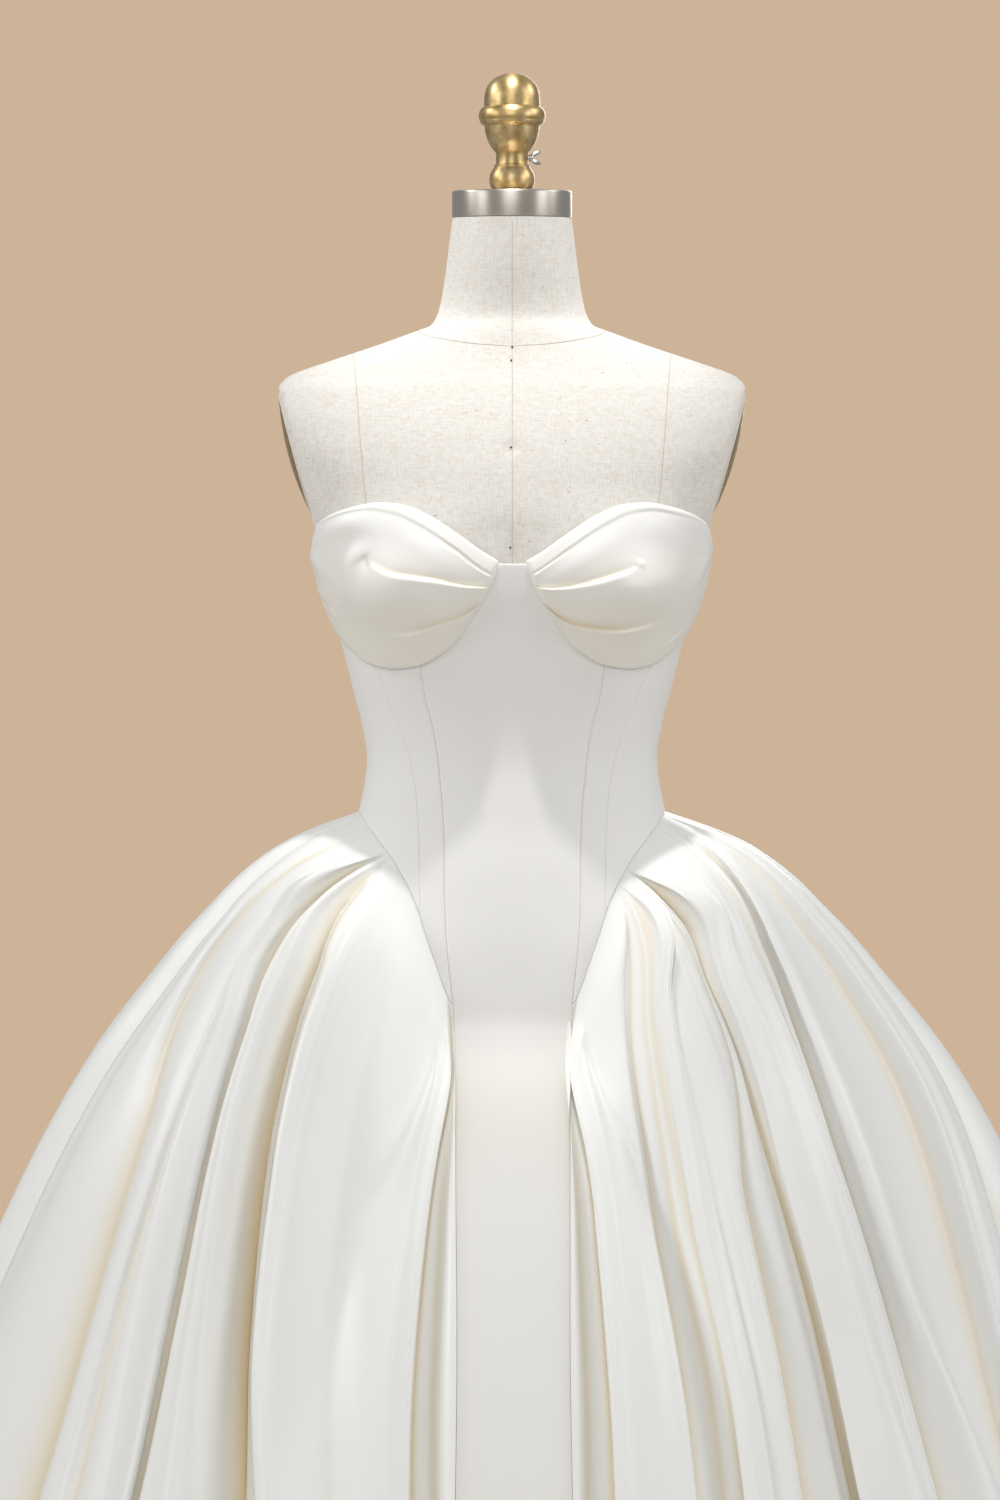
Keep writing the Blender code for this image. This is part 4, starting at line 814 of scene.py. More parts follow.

# Folds of the cups. Each runs along points (share across from the front, share up) and is a pleat that
# opens upwards: millimetres of its crest and of the drop above it, how far each reaches in
# millimetres, and how much warm shade is painted just above it. A drop below nought makes a soft ridge.
CUP_SPAN, CUP_TALL, CUP_FULLNESS = 0.190, 0.110, 0.0030
CUP_FOLDS = {
    "left": [
        ("top_band", [(-0.02, 0.70), (0.20, 0.875), (0.36, 0.915), (0.52, 0.935), (0.76, 0.958), (1.3, 0.96)],
         -0.9, -1.3, 2.5, 7, 0.0),
        ("second_strip", [(-0.01, 0.64), (0.14, 0.80), (0.25, 0.862), (0.42, 0.878)], 1.4, 0.9, 9, 2.0, 0.45),
        ("upper_ridge", [(0.16, 0.70), (0.35, 0.80), (0.60, 0.86), (0.78, 0.84), (0.88, 0.70)],
         2.0, -2.0, 10, 10, 0.0),
        ("middle_pleat", [(-0.01, 0.42), (0.08, 0.49), (0.16, 0.532), (0.28, 0.567), (0.40, 0.572), (0.50, 0.60),
                          (0.57, 0.65)], 4.4, 2.6, 14, 5, 0.5),
        ("side_hook", [(0.68, 0.30), (0.645, 0.456), (0.638, 0.54), (0.633, 0.61), (0.605, 0.685), (0.54, 0.725)],
         2.4, -2.4, 6, 6, 0.0),
        ("dimple", [(0.56, 0.60), (0.59, 0.66)], -1.6, 1.6, 4, 4, 0.3),
        ("lower_swell", [(0.10, 0.34), (0.35, 0.40), (0.60, 0.40), (0.80, 0.45)], 2.2, -2.2, 16, 12, 0.0),
        ("low_pleat", [(-0.01, 0.05), (0.08, 0.122), (0.20, 0.183), (0.31, 0.20), (0.42, 0.20), (0.60, 0.235)],
         4.0, 2.4, 13, 5, 0.6),
        ("side_ring", [(0.83, 0.33), (0.825, 0.25)], 1.2, -1.2, 2.2, 2.2, 0.0),
        ("side_pull", [(0.99, 0.66), (0.88, 0.60), (0.78, 0.50)], 2.0, -2.0, 7, 7, 0.0),
        ("side_tuck", [(0.99, 0.42), (0.90, 0.37), (0.80, 0.33)], 1.3, 1.0, 4, 3, 0.3),
    ],
    "right": [
        ("top_band", [(-0.02, 0.72), (0.20, 0.878), (0.36, 0.917), (0.52, 0.939), (0.64, 0.950), (0.8, 0.945),
                      (1.3, 0.95)], -0.9, -1.3, 2.5, 7, 0.0),
        ("inner_fold", [(-0.01, 0.65), (0.04, 0.728), (0.09, 0.79), (0.167, 0.842), (0.28, 0.866)],
         1.5, 1.0, 7, 2.0, 0.5),
        ("upper_ridge", [(0.12, 0.66), (0.30, 0.78), (0.55, 0.85), (0.75, 0.80)], 2.0, -2.0, 10, 10, 0.0),
        ("middle_pleat", [(-0.01, 0.42), (0.13, 0.494), (0.26, 0.544), (0.34, 0.572), (0.42, 0.60), (0.50, 0.65)],
         4.2, 2.6, 14, 5, 0.5),
        ("crest_end", [(0.46, 0.61), (0.48, 0.66)], 1.4, -1.4, 3.5, 3.5, 0.0),
        ("lower_swell", [(0.12, 0.36), (0.35, 0.43), (0.58, 0.47), (0.78, 0.55)], 2.2, -2.2, 16, 12, 0.0),
        ("low_pleat", [(-0.01, 0.02), (0.08, 0.07), (0.18, 0.133), (0.28, 0.183), (0.38, 0.211), (0.54, 0.256),
                       (0.66, 0.31)], 4.4, 3.0, 13, 5, 0.85),
        ("side_ring", [(0.75, 0.15), (0.79, 0.178), (0.82, 0.21)], 1.3, 0.9, 2.5, 2.5, 0.35),
        ("side_pull", [(0.83, 0.76), (0.86, 0.64), (0.80, 0.53), (0.755, 0.42)], 2.2, -2.2, 7, 7, 0.0),
    ],
}


def cup_patch(columns, rows):
    """Angles and heights of a cup, from its foot to its top and from the front to the side."""
    across, up = np.linspace(0, 1, columns), np.linspace(0, 1, rows)

    def along(side, shares):
        """Places at shares of the way along one side of the cup."""
        turn = side * (0.15, 60)  # degrees and metres made about equal, for the curve's length
        run = np.concatenate([[0], np.cumsum(np.linalg.norm(np.diff(turn, axis=0), axis=1))])
        table = np.column_stack([run / run[-1], side])
        return np.stack([through(table, 1, shares), through(table, 2, shares)], -1)

    foot, top = along(CUP_BOTTOM, across)[None], along(CUP_TOP, across)[None]
    inner, outer = along(CUP_INNER, up)[:, None], along(CUP_OUTER, up)[:, None]
    u, v = across[None, :, None], up[:, None, None]
    corners = (1 - u) * (1 - v) * foot[:, :1] + u * (1 - v) * foot[:, -1:]
    corners = corners + (1 - u) * v * top[:, :1] + u * v * top[:, -1:]
    return (1 - v) * foot + v * top + (1 - u) * inner + u * outer - corners


def cup_rise(across, up, folds):
    """How far the pleated satin stands out over the cup, and how much shade is painted at each point."""
    ends = smooth_step(across / 0.03) * smooth_step((1 - across) / 0.06)
    ends = ends * smooth_step(up / 0.06) * smooth_step((1 - up) / 0.03)
    rise = CUP_FULLNESS * (1 - np.abs(2 * up - 1) ** 4)
    # Painted shade: a little over the lower part of the cup, and warm shade just above each pleat's fold line.
    painted_shade = 0.15 * smooth_step((0.8 - up) / 0.6)
    place = np.stack([across * CUP_SPAN, up * CUP_TALL], -1)
    for _, points, crest, drop, below, above, shade_paint in folds:
        drawn = np.column_stack([np.linspace(0, 1, len(points)), points])
        shares = np.linspace(0, 1, 6 * len(points))
        line = np.stack([through(drawn, 1, shares) * CUP_SPAN, through(drawn, 2, shares) * CUP_TALL], -1)
        nearest, signed, run = (np.full(across.shape, value) for value in (9.0, 9.0, 0.0))
        for share, near, far in zip(shares, line, line[1:]):
            step = far - near
            part = np.clip(((place - near) @ step) / (step @ step), 0, 1)
            off = place - near - part[..., None] * step
            away = np.linalg.norm(off, axis=-1)
            side = np.where(step[0] * off[..., 1] - step[1] * off[..., 0] < 0, -1, 1)
            closer = away < nearest
            nearest = np.where(closer, away, nearest)
            signed = np.where(closer, away * side, signed)
            run = np.where(closer, share + part * shares[1], run)
        fade = smooth_step((1 - run) / 0.4)
        if drop < 0:
            fade = fade * smooth_step((run + 0.1) / 0.4)
        over = 1 / (1 + np.exp(-signed / 0.0006))
        power = 2 if drop < 0 < crest else 1  # a soft ridge is round, a pleat has a crest
        rise = rise + fade * crest / 1000 * np.exp(-((nearest * 1000 / below) ** power)) * (1 - over)
        rise = rise - fade * drop / 1000 * np.exp(-((nearest * 1000 / above) ** power)) * over
        painted_shade = np.maximum(painted_shade, fade * shade_paint * np.exp(-nearest * 1000 / above) * over)
    return rise * ends, painted_shade


# Its second and third colours are painted shade for the folds and deep in them.
cup_satin = satin_cloth("duchess_satin_cups", "#f6f4ef", "#efe6d3", "#dcc897", 0.030, 0.40, 0.5)
columns, rows = 140, 110
patch = cup_patch(columns, rows)
across, up = np.meshgrid(np.linspace(0, 1, columns), np.linspace(0, 1, rows))
skin = form_radius(patch[..., 0], patch[..., 1]) + EASE + CLOTH_WALL + CUP_LIFT
for sign, hand in ((-1, "left"), (1, "right")):
    rise, painted_shade = cup_rise(across, up, CUP_FOLDS[hand])
    inner = at_polar(sign * patch[..., 0], skin, patch[..., 1])
    outer = at_polar(sign * patch[..., 0], skin + CUP_WALL + rise, patch[..., 1])
    wall = sewn(outer, inner, (*SIDE_EDGES, "foot", "top"), ())
    carried_by = [f"side_front_{hand}_satin", f"side_{hand}_satin"]
    add_cloth(f"cup_{hand}", wall, painted_shade, cup_satin, "satin_cups", "gathered", carried_by, 0.217, 0.150, 0.0217)

# ---------------------------------------------------------------- front panel and skirt
# The front panel runs in one length from the neckline to the hem. On both sides of it the skirt's panels
# are laid in deep uneven pleats, sewn into the waist seam and let fall to the floor.
HEM_RADIUS, HEM_SWING, FLARE_TURN, NOSE, SOFT_WAVE = 0.682, 0.012, 25, 0.8, 0.0009
CENTRE_BACK_RISE, LINE_WIDTH = (6, 8, 10), 0.03
HEAD_RISE, HEAD_FALL = 0.012, 0.045  # shares of the height over which a pleat's head rises and dies away
HEM_SOFTENING, SOFTENS_FROM = 0.45, 0.15  # how much rounder the creases get by the hem, and from where
# Skirt flare: share of the height below the seam, share of the way out to the hem, front and sides
FLARE = np.array([
    (0.000, 0.000, 0.000), (0.008, 0.0008, 0.036), (0.017, 0.0031, 0.070), (0.028, 0.0100, 0.104),
    (0.040, 0.021, 0.135), (0.055, 0.041, 0.167), (0.073, 0.072, 0.198), (0.095, 0.112, 0.236),
    (0.119, 0.156, 0.272), (0.186, 0.277, 0.368), (0.254, 0.381, 0.442), (0.322, 0.470, 0.503),
    (0.435, 0.595, 0.596), (0.661, 0.772, 0.772), (1.000, 1.000, 1.000),
])
# Width of the front panel in the skirt: share of the height below the seam, against its width there
PANEL = np.array([(0.0, 1.0), (0.12, 0.93), (0.30, 0.87), (0.45, 0.90), (1.0, 1.20)])

# Pleats. Each row is a ridge or a valley that runs from the waist seam to the hem: its name, its angle
# at each share of the height in LINE_LEVELS, and how far it stands out from the flare, in
# millimetres, at each share in RISE_LEVELS. A valley whose angle passes its ridge's is undercut.
LINE_LEVELS = (0.0, 0.03, 0.07, 0.12, 0.20, 0.30, 0.45, 1.0)
RISE_LEVELS = (0.0, 0.028, 0.25, 1.0)
RIGHT_PLEATS = [
    ("panel_strip_floor", 23.3, 19.9, 15.8, 13.4, 10.4, 8.5, 6.8, 6.6, -2, -13, -16),
    ("front_pleat_foot", 24.2, 20.4, 17.7, 16.2, 13.2, 11.2, 9.5, 9.3, -4, -16, -17),
    ("front_pleat_edge", 24.9, 20.1, 16.2, 15.0, 12.5, 10.8, 9.3, 9.0, 8, 15, 14),
    ("front_pleat_crown", 31.0, 22.7, 21.2, 18.9, 15.5, 13.1, 11.0, 10.6, 14, 21, 19),
    ("head_pleat_edge", 40.6, 31.7, 27.6, 24.2, 20.2, 18.2, 16.3, 15.8, 9, 13, 13),
    ("head_pleat_foot", 41.2, 35.6, 30.6, 26.8, 22.4, 19.9, 17.6, 17.0, -6, -10, -12),
    ("head_valley_floor", 42.1, 38.2, 33.2, 29.6, 25.5, 23.2, 20.4, 19.8, -8, -17, -20),
    ("third_pleat_foot", 42.7, 38.8, 33.8, 30.3, 26.7, 24.7, 22.1, 21.4, -5, -12, -16),
    ("third_pleat_edge", 43.1, 38.4, 33.4, 29.8, 25.7, 23.7, 21.1, 20.5, 12, 14, 14),
    ("third_pleat_crown", 44.0, 39.3, 34.3, 30.7, 26.6, 24.6, 22.0, 21.4, 14, 18, 18),
    ("third_pleat_dip", 44.9, 40.2, 35.7, 32.6, 29.0, 26.7, 24.3, 23.6, 3, 6, 6),
    ("cream_pleat_crown", 45.8, 41.1, 38.4, 35.8, 30.6, 28.2, 25.9, 25.2, 1, 11, 14),
    ("cream_pleat_crease", 46.2, 44.6, 41.8, 39.3, 33.2, 30.5, 28.1, 27.3, -8, -10, -12),
    ("narrow_pleat_crown", 46.8, 45.8, 42.3, 40.0, 35.5, 33.1, 31.0, 30.1, -9, -6, 6),
    ("flap_foot", 47.2, 46.4, 42.8, 40.5, 37.6, 35.7, 33.7, 32.7, -14, -19, -16),
    ("flap_edge", 47.5, 46.0, 42.5, 40.2, 36.1, 34.3, 32.4, 31.4, 15, 14, 12),
    ("flap_crown", 48.4, 46.9, 43.4, 41.1, 37.9, 36.7, 37.6, 36.5, 24, 25, 22),
    ("flap_dip", 54.0, 51.5, 47.6, 45.3, 41.8, 40.1, 38.9, 37.8, 16, 14, 12),
    ("strip_pleat_edge", 66.0, 56.1, 49.5, 46.2, 42.7, 41.0, 39.8, 38.7, 12, 14, 8),
    ("strip_pleat_foot", 67.0, 62.0, 54.2, 48.6, 43.6, 41.4, 40.3, 39.1, -2, -4, -8),
    ("strip_pleat_crown", 69.5, 62.7, 54.9, 49.3, 44.3, 42.1, 41.0, 39.8, 3, 3, -4),
    ("gold_crease", 72.0, 64.9, 57.0, 51.1, 45.0, 42.6, 41.5, 40.3, -5, -10, -11),
    ("fifth_pleat_crown", 75.5, 62.9, 55.1, 50.2, 46.2, 44.4, 46.5, 45.1, 13, 18, 18),
    ("wide_hollow", 79.0, 73.2, 67.6, 61.8, 55.4, 50.8, 48.1, 46.6, 3, -5, -8),
    ("sixth_pleat_crease", 80.0, 75.9, 71.7, 68.4, 63.4, 57.4, 52.3, 50.4, -2, -5, -5),
    ("sixth_pleat_edge", 80.9, 77.0, 72.9, 69.7, 64.7, 58.5, 53.3, 51.2, 12, 16, 14),
    ("sixth_pleat_crown", 84.0, 80.5, 77.0, 74.2, 69.0, 61.6, 55.6, 53.0, 15, 19, 18),
    ("sixth_valley_floor", 87.5, 85.6, 83.4, 81.3, 76.8, 68.4, 60.0, 56.8, 0, -8, -14),
    ("seventh_pleat_crown", 91.5, 89.9, 88.5, 87.0, 82.6, 75.8, 66.6, 64.6, 14, 20, 20),
    ("seventh_pleat_edge", 94.5, 93.6, 92.9, 92.0, 88.7, 82.7, 74.0, 72.0, 10, 14, 14),
    ("seventh_pleat_foot", 95.2, 94.4, 93.8, 93.0, 89.8, 83.9, 75.2, 73.2, -4, -12, -16),
    ("eighth_pleat_crown", 99.0, 98.5, 98.1, 97.4, 94.7, 90.1, 83.4, 81.4, 12, 19, 20),
    ("side_thin_crease", 101.5, 101.3, 101.0, 100.6, 98.6, 95.1, 90.0, 88.4, 8, 10, 8),
    ("side_pleat_edge", 104.4, 104.3, 104.1, 103.8, 103.0, 101.7, 99.8, 99.0, 12, 17, 16),
    ("side_seam_valley", 106.0, 105.8, 105.7, 105.4, 104.8, 104.0, 102.9, 102.4, -6, -16, -18),
    ("back_first_crown", 110.5, 110.5, 110.7, 111.0, 111.0, 110.9, 110.5, 110.0, 12, 20, 22),
    ("back_first_edge", 114.4, 114.7, 115.1, 115.6, 116.2, 116.4, 116.0, 115.4, 9, 13, 14),
    ("back_first_foot", 115.2, 115.6, 116.1, 116.6, 117.4, 117.6, 117.2, 116.6, -7, -15, -18),
    ("back_second_crown", 121.5, 122.2, 123.3, 124.5, 125.3, 125.4, 125.0, 124.8, 14, 24, 20),
    ("back_second_dip", 126.0, 127.4, 128.8, 130.0, 131.0, 131.2, 131.2, 131.0, 9, 12, 10),
    ("back_second_edge", 130.2, 131.8, 133.1, 134.2, 135.4, 135.9, 136.2, 136.6, 13, 16, 14),
    ("back_second_foot", 131.0, 132.6, 133.9, 135.0, 136.3, 137.0, 137.4, 137.8, -10, -20, -20),
    ("back_second_floor", 132.6, 134.2, 135.5, 136.6, 137.8, 138.4, 138.8, 139.4, -11, -22, -22),
    ("back_third_crown", 138.5, 139.8, 141.0, 142.0, 143.4, 144.3, 145.0, 146.0, 13, 21, 19),
    ("back_third_edge", 143.5, 144.7, 145.6, 146.4, 147.4, 148.5, 149.8, 150.8, 9, 13, 12),
    ("back_third_foot", 144.3, 145.6, 146.6, 147.4, 148.6, 149.8, 151.0, 152.0, -7, -14, -16),
    ("back_fourth_crown", 151.0, 152.0, 152.7, 153.5, 154.8, 156.2, 157.6, 158.6, 13, 22, 20),
    ("back_thin_crease", 155.2, 156.0, 156.6, 157.2, 158.2, 159.3, 160.6, 161.6, 10, 13, 11),
    ("back_fourth_edge", 159.2, 159.8, 160.4, 161.0, 161.9, 162.9, 164.2, 165.2, 12, 16, 14),
    ("back_fourth_foot", 160.0, 160.7, 161.3, 161.9, 162.9, 163.9, 165.2, 166.2, -9, -18, -18),
    ("back_fifth_crown", 167.5, 167.9, 168.2, 168.6, 169.2, 170.0, 171.0, 172.0, 11, 17, 16),
]
LEFT_PLEATS = [
    ("panel_strip_floor", 23.3, 21.6, 17.2, 14.7, 11.6, 9.5, 7.4, 7.2, -2, -13, -16),
    ("wide_pleat_front_foot", 24.2, 22.1, 17.9, 16.5, 13.9, 11.8, 9.6, 9.3, -4, -17, -18),
    ("wide_pleat_front_edge", 24.9, 21.8, 17.4, 15.5, 13.3, 11.5, 9.4, 9.1, 8, 15, 14),
    ("wide_pleat_front_crown", 28.5, 24.3, 21.1, 19.1, 16.0, 13.6, 11.0, 10.7, 13, 21, 20),
    ("wide_pleat_dip", 36.0, 34.7, 32.0, 29.4, 24.8, 20.7, 15.9, 15.4, 11, 9, 6),
    ("wide_pleat_back_crown", 46.0, 38.7, 36.9, 34.4, 30.2, 26.0, 20.5, 19.9, 15, 22, 19),
    ("wide_pleat_back_edge", 49.6, 41.6, 39.3, 36.7, 32.2, 28.0, 22.2, 21.6, 10, 16, 14),
    ("wide_pleat_back_foot", 50.3, 49.0, 44.6, 41.5, 36.2, 31.5, 25.2, 24.4, -14, -22, -20),
    ("wide_valley_floor", 51.2, 49.9, 45.6, 42.4, 37.6, 32.5, 27.0, 26.1, -15, -26, -23),
    ("deep_pleat_crown", 52.1, 50.8, 46.6, 43.3, 38.5, 34.7, 31.4, 30.5, 12, 22, 20),
    ("deep_pleat_edge", 53.0, 51.7, 49.9, 45.8, 40.9, 37.4, 35.5, 34.5, 6, 9, 8),
    ("deep_pleat_crease", 53.5, 54.9, 53.9, 48.8, 43.1, 39.7, 37.3, 36.2, -5, -5, -3),
    ("flap_rim_edge", 53.8, 54.6, 53.6, 48.4, 42.8, 39.5, 37.0, 35.9, 13, 10, 7),
    ("flap_rim_crown", 54.7, 55.4, 54.7, 49.5, 45.7, 42.6, 39.4, 38.2, 21, 20, 16),
    ("thin_crease", 58.0, 56.6, 55.6, 50.8, 47.2, 45.0, 42.5, 41.2, 13, 14, 8),
    ("second_pleat_crown", 61.0, 58.2, 56.5, 53.0, 48.1, 46.0, 44.7, 43.4, 17, 18, 20),
    ("second_valley_floor", 64.5, 65.4, 65.3, 62.7, 54.1, 50.8, 48.6, 47.2, 11, 6, -8),
    ("third_pleat_crown", 70.0, 68.0, 66.2, 64.5, 62.5, 61.0, 60.0, 58.5, 16, 18, 20),
    ("third_pleat_edge", 76.0, 74.0, 72.0, 70.6, 69.6, 70.0, 70.6, 69.6, 8, 12, 12),
    ("third_pleat_foot", 76.8, 74.9, 73.0, 71.6, 70.6, 71.2, 71.8, 70.8, -6, -10, -10),
    ("third_valley_floor", 78.5, 77.4, 75.9, 74.4, 73.6, 73.4, 73.6, 72.8, -8, -14, -16),
    ("fourth_pleat_crown", 84.0, 83.6, 82.7, 81.6, 80.8, 80.5, 80.4, 80.0, 12, 18, 20),
    ("fourth_pleat_edge", 88.0, 87.7, 87.1, 86.4, 85.8, 85.5, 85.4, 85.2, 8, 13, 12),
    ("fourth_pleat_foot", 88.7, 88.6, 88.3, 87.6, 87.1, 86.9, 86.8, 86.6, -5, -12, -14),
    ("side_pleat_crown", 95.0, 95.4, 95.4, 95.4, 95.7, 95.8, 95.6, 95.4, 13, 19, 20),
    ("side_thin_crease", 98.5, 98.9, 99.1, 99.2, 99.6, 99.8, 99.8, 99.6, 9, 12, 10),
    ("side_pleat_edge", 101.4, 102.1, 102.4, 102.6, 103.0, 103.3, 103.6, 103.2, 12, 15, 14),
    ("side_seam_valley", 103.0, 103.8, 104.2, 104.5, 104.8, 105.2, 105.5, 105.0, -7, -17, -18),
    ("back_first_crown", 108.0, 109.2, 110.0, 110.5, 111.2, 111.7, 112.0, 111.0, 13, 22, 20),
    ("back_first_dip", 112.0, 113.6, 114.7, 115.5, 116.6, 117.2, 117.5, 117.0, 8, 11, 11),
    ("back_first_edge", 116.0, 118.0, 119.2, 120.2, 121.5, 122.4, 123.2, 123.4, 12, 15, 14),
    ("back_first_foot", 116.8, 118.8, 120.0, 121.0, 122.2, 123.3, 124.2, 124.4, -8, -18, -18),
    ("back_first_floor", 118.4, 120.2, 121.4, 122.4, 123.6, 124.7, 125.8, 126.2, -10, -22, -22),
    ("back_second_crown", 125.0, 126.6, 127.8, 128.8, 130.0, 131.0, 132.0, 133.0, 13, 21, 20),
    ("back_second_edge", 131.0, 131.9, 132.8, 133.6, 134.7, 135.7, 136.8, 138.0, 9, 13, 13),
    ("back_second_foot", 131.8, 132.9, 133.8, 134.6, 135.8, 136.9, 138.0, 139.2, -6, -14, -16),
    ("back_third_crown", 139.0, 139.9, 140.9, 141.8, 142.9, 144.0, 145.0, 146.5, 14, 24, 22),
    ("back_thin_crease", 143.5, 144.5, 145.4, 146.2, 147.1, 148.0, 148.8, 149.8, 11, 15, 12),
    ("back_third_edge", 148.0, 148.8, 149.5, 150.2, 151.1, 152.0, 153.0, 154.0, 13, 17, 15),
    ("back_third_foot", 148.8, 149.6, 150.3, 151.0, 152.1, 153.0, 154.0, 155.0, -9, -20, -20),
    ("back_fourth_crown", 156.0, 156.8, 157.5, 158.2, 159.1, 160.0, 160.8, 162.2, 12, 19, 18),
    ("back_fourth_edge", 163.5, 164.1, 164.5, 165.0, 165.8, 166.6, 167.6, 169.0, 9, 13, 12),
    ("back_fourth_foot", 164.3, 164.9, 165.5, 166.0, 166.9, 167.8, 168.8, 170.2, -6, -13, -14),
]

# Heads of the deepest pleats, which stand up off the waist seam before they fall: side, pleat line, and
# how far it is lifted, or sunk under the head, in millimetres
PLEAT_HEADS = {
    (1, "flap_edge"): 27, (1, "flap_crown"): 23, (1, "flap_dip"): 9, (1, "flap_foot"): -7,
    (1, "third_pleat_edge"): 13, (1, "third_pleat_crown"): 15, (1, "third_pleat_dip"): 4,
    (-1, "flap_rim_edge"): 20, (-1, "flap_rim_crown"): 18, (-1, "thin_crease"): 8, (-1, "deep_pleat_crease"): -6,
}


def flare_radius(angle, share):
    """The skirt's radius before its pleats, at a share of the way from the waist seam to the hem."""
    seam = form_radius(angle, waist_height(angle)) + EASE + CLOTH_WALL
    side = smooth_step((np.abs(angle) - V_FOOT_ANGLE * (1 - share)) / FLARE_TURN)
    reach = through(FLARE, 1, share) * (1 - side) + through(FLARE, 2, share) * side
    hem = HEM_RADIUS + HEM_SWING * np.sin(np.radians(angle))
    return seam + (hem - seam) * reach


def panel_edge_angle(share):
    """Angle of the front panel's edge in the skirt."""
    foot = V_FOOT_ANGLE + 0 * share
    half_width = flare_radius(foot, 0 * share) * np.sin(np.radians(foot)) * through(PANEL, 1, share)
    angle = foot
    for _ in range(30):
        angle = np.degrees(np.arcsin(half_width / flare_radius(angle, share)))
    return angle


def pleat_lines(share):
    """Angle and radius of every ridge and valley, from centre back round the front to centre back."""
    edge = panel_edge_angle(share)
    half = {}
    for side, table in ((-1, LEFT_PLEATS), (1, RIGHT_PLEATS)):
        lines = [(edge * side, flare_radius(edge * side, share))]
        back = ("centre_back", *(180.0,) * len(LINE_LEVELS), *CENTRE_BACK_RISE)
        for row in [*table, back]:
            angle = side * through(np.array([LINE_LEVELS, row[1:9]]).T, 1, share)
            rise = through(np.array([RISE_LEVELS, (0, *row[9:])]).T, 1, share) / 1000
            head = smooth_step(share / HEAD_RISE) * (1 - smooth_step((share - HEAD_RISE) / HEAD_FALL))
            rise = rise + PLEAT_HEADS.get((side, row[0]), 0) / 1000 * head
            lines.append((angle, flare_radius(angle, share) + rise))
        half[side] = lines
    front = (0 * share, flare_radius(0 * share, share))
    ring = half[-1][::-1] + [front] + half[1]
    return np.array([line[0] for line in ring]), np.array([line[1] for line in ring])


FRONT_LINE = len(LEFT_PLEATS) + 2  # place of centre front in the ring of lines
LINE_COUNT = len(LEFT_PLEATS) + len(RIGHT_PLEATS) + 5


def sharpness(name):
    """How far a line is a crease and not a round: 1 for a valley, less for a pleat's pressed edge."""
    for word, amount in (("floor", 0.95), ("valley", 0.9), ("foot", 0.85), ("crease", 0.8), ("edge", 0.35)):
        if word in name:
            return amount
    return 0.0


LINE_SHARPNESS = np.array([
    0.0, *[sharpness(row[0]) for row in LEFT_PLEATS[::-1]], 0.0, 0.0, 0.0,
    *[sharpness(row[0]) for row in RIGHT_PLEATS], 0.0,
])


def line_place(side, name):
    """Place of a named ridge or valley in the ring of lines."""
    names = [row[0] for row in (LEFT_PLEATS if side < 0 else RIGHT_PLEATS)]
    return FRONT_LINE + side * (names.index(name) + 2)


def skirt_surface(place, share):
    """Points on the skirt's outer face: a row for each share, a column for each place in the ring.

    Between two lines the cloth runs in an S that leaves both square to the radius, so that a pleat's
    edge is rounded, and swells past its own foot where the foot is tucked under it.
    """
    angles, radii = pleat_lines(share)
    i = np.clip(np.floor(place).astype(int), 0, LINE_COUNT - 2)
    s = (place - i)[None]
    start, turn = angles[i].T, (angles[i + 1] - angles[i]).T
    low, climb = radii[i].T, (radii[i + 1] - radii[i]).T
    swell = np.maximum(turn, np.degrees(NOSE * np.abs(climb) / low))
    keen = 1 - HEM_SOFTENING * smooth_step((share - SOFTENS_FROM) / (1 - SOFTENS_FROM))
    angle = start + turn * smooth_step(s) + swell * s * (1 - s) * (1 - 2 * s)
    a, b = LINE_SHARPNESS[i] * keen[:, None], LINE_SHARPNESS[i + 1] * keen[:, None]
    round_rise, early, late = smooth_step(s), np.sin(s * np.pi / 2), 1 - np.cos(s * np.pi / 2)
    rise = (1 - a) * (1 - b) * round_rise + a * (1 - b) * early + b * (1 - a) * late + a * b * s
    fall, across = share[:, None], place[None]
    wave = np.sin(5.3 * across + 7 * fall) * np.sin(2.1 * across - 11 * fall + 1)
    wave = (wave + 0.5 * np.sin(9.1 * across + 4 * fall)) * smooth_step(fall / 0.08)
    beside_panel = np.clip(np.abs(across - FRONT_LINE) - 1, 0, 1)
    radius = low + climb * rise + SOFT_WAVE * wave * beside_panel
    return at_polar(angle, radius, waist_height(angle) * (1 - fall))


def skirt_wall(places, shares):
    """The skirt's outer and inner points. At the waist seam the wall stands square to the bodice's."""
    step = 0.02
    outer = skirt_surface(places, shares)
    ends = [np.clip(shares + d, 0, 1) for d in (-step * 0.2, step * 0.2)]
    down = skirt_surface(places, ends[1]) - skirt_surface(places, ends[0])
    along = skirt_surface(places + step, shares) - skirt_surface(places - step, shares)
    normal = unit(np.cross(along, -down))
    level = unit(outer * (1, 1, 0))
    settle = smooth_step(shares / 0.03)[:, None, None]
    normal = unit(level * (1 - settle) + normal * settle)
    hem = smooth_step((shares - 0.9) / 0.1)[:, None, None]
    normal = unit(normal * (1, 1, 0) * hem + normal * (1 - hem))
    return outer, outer - CLOTH_WALL * normal


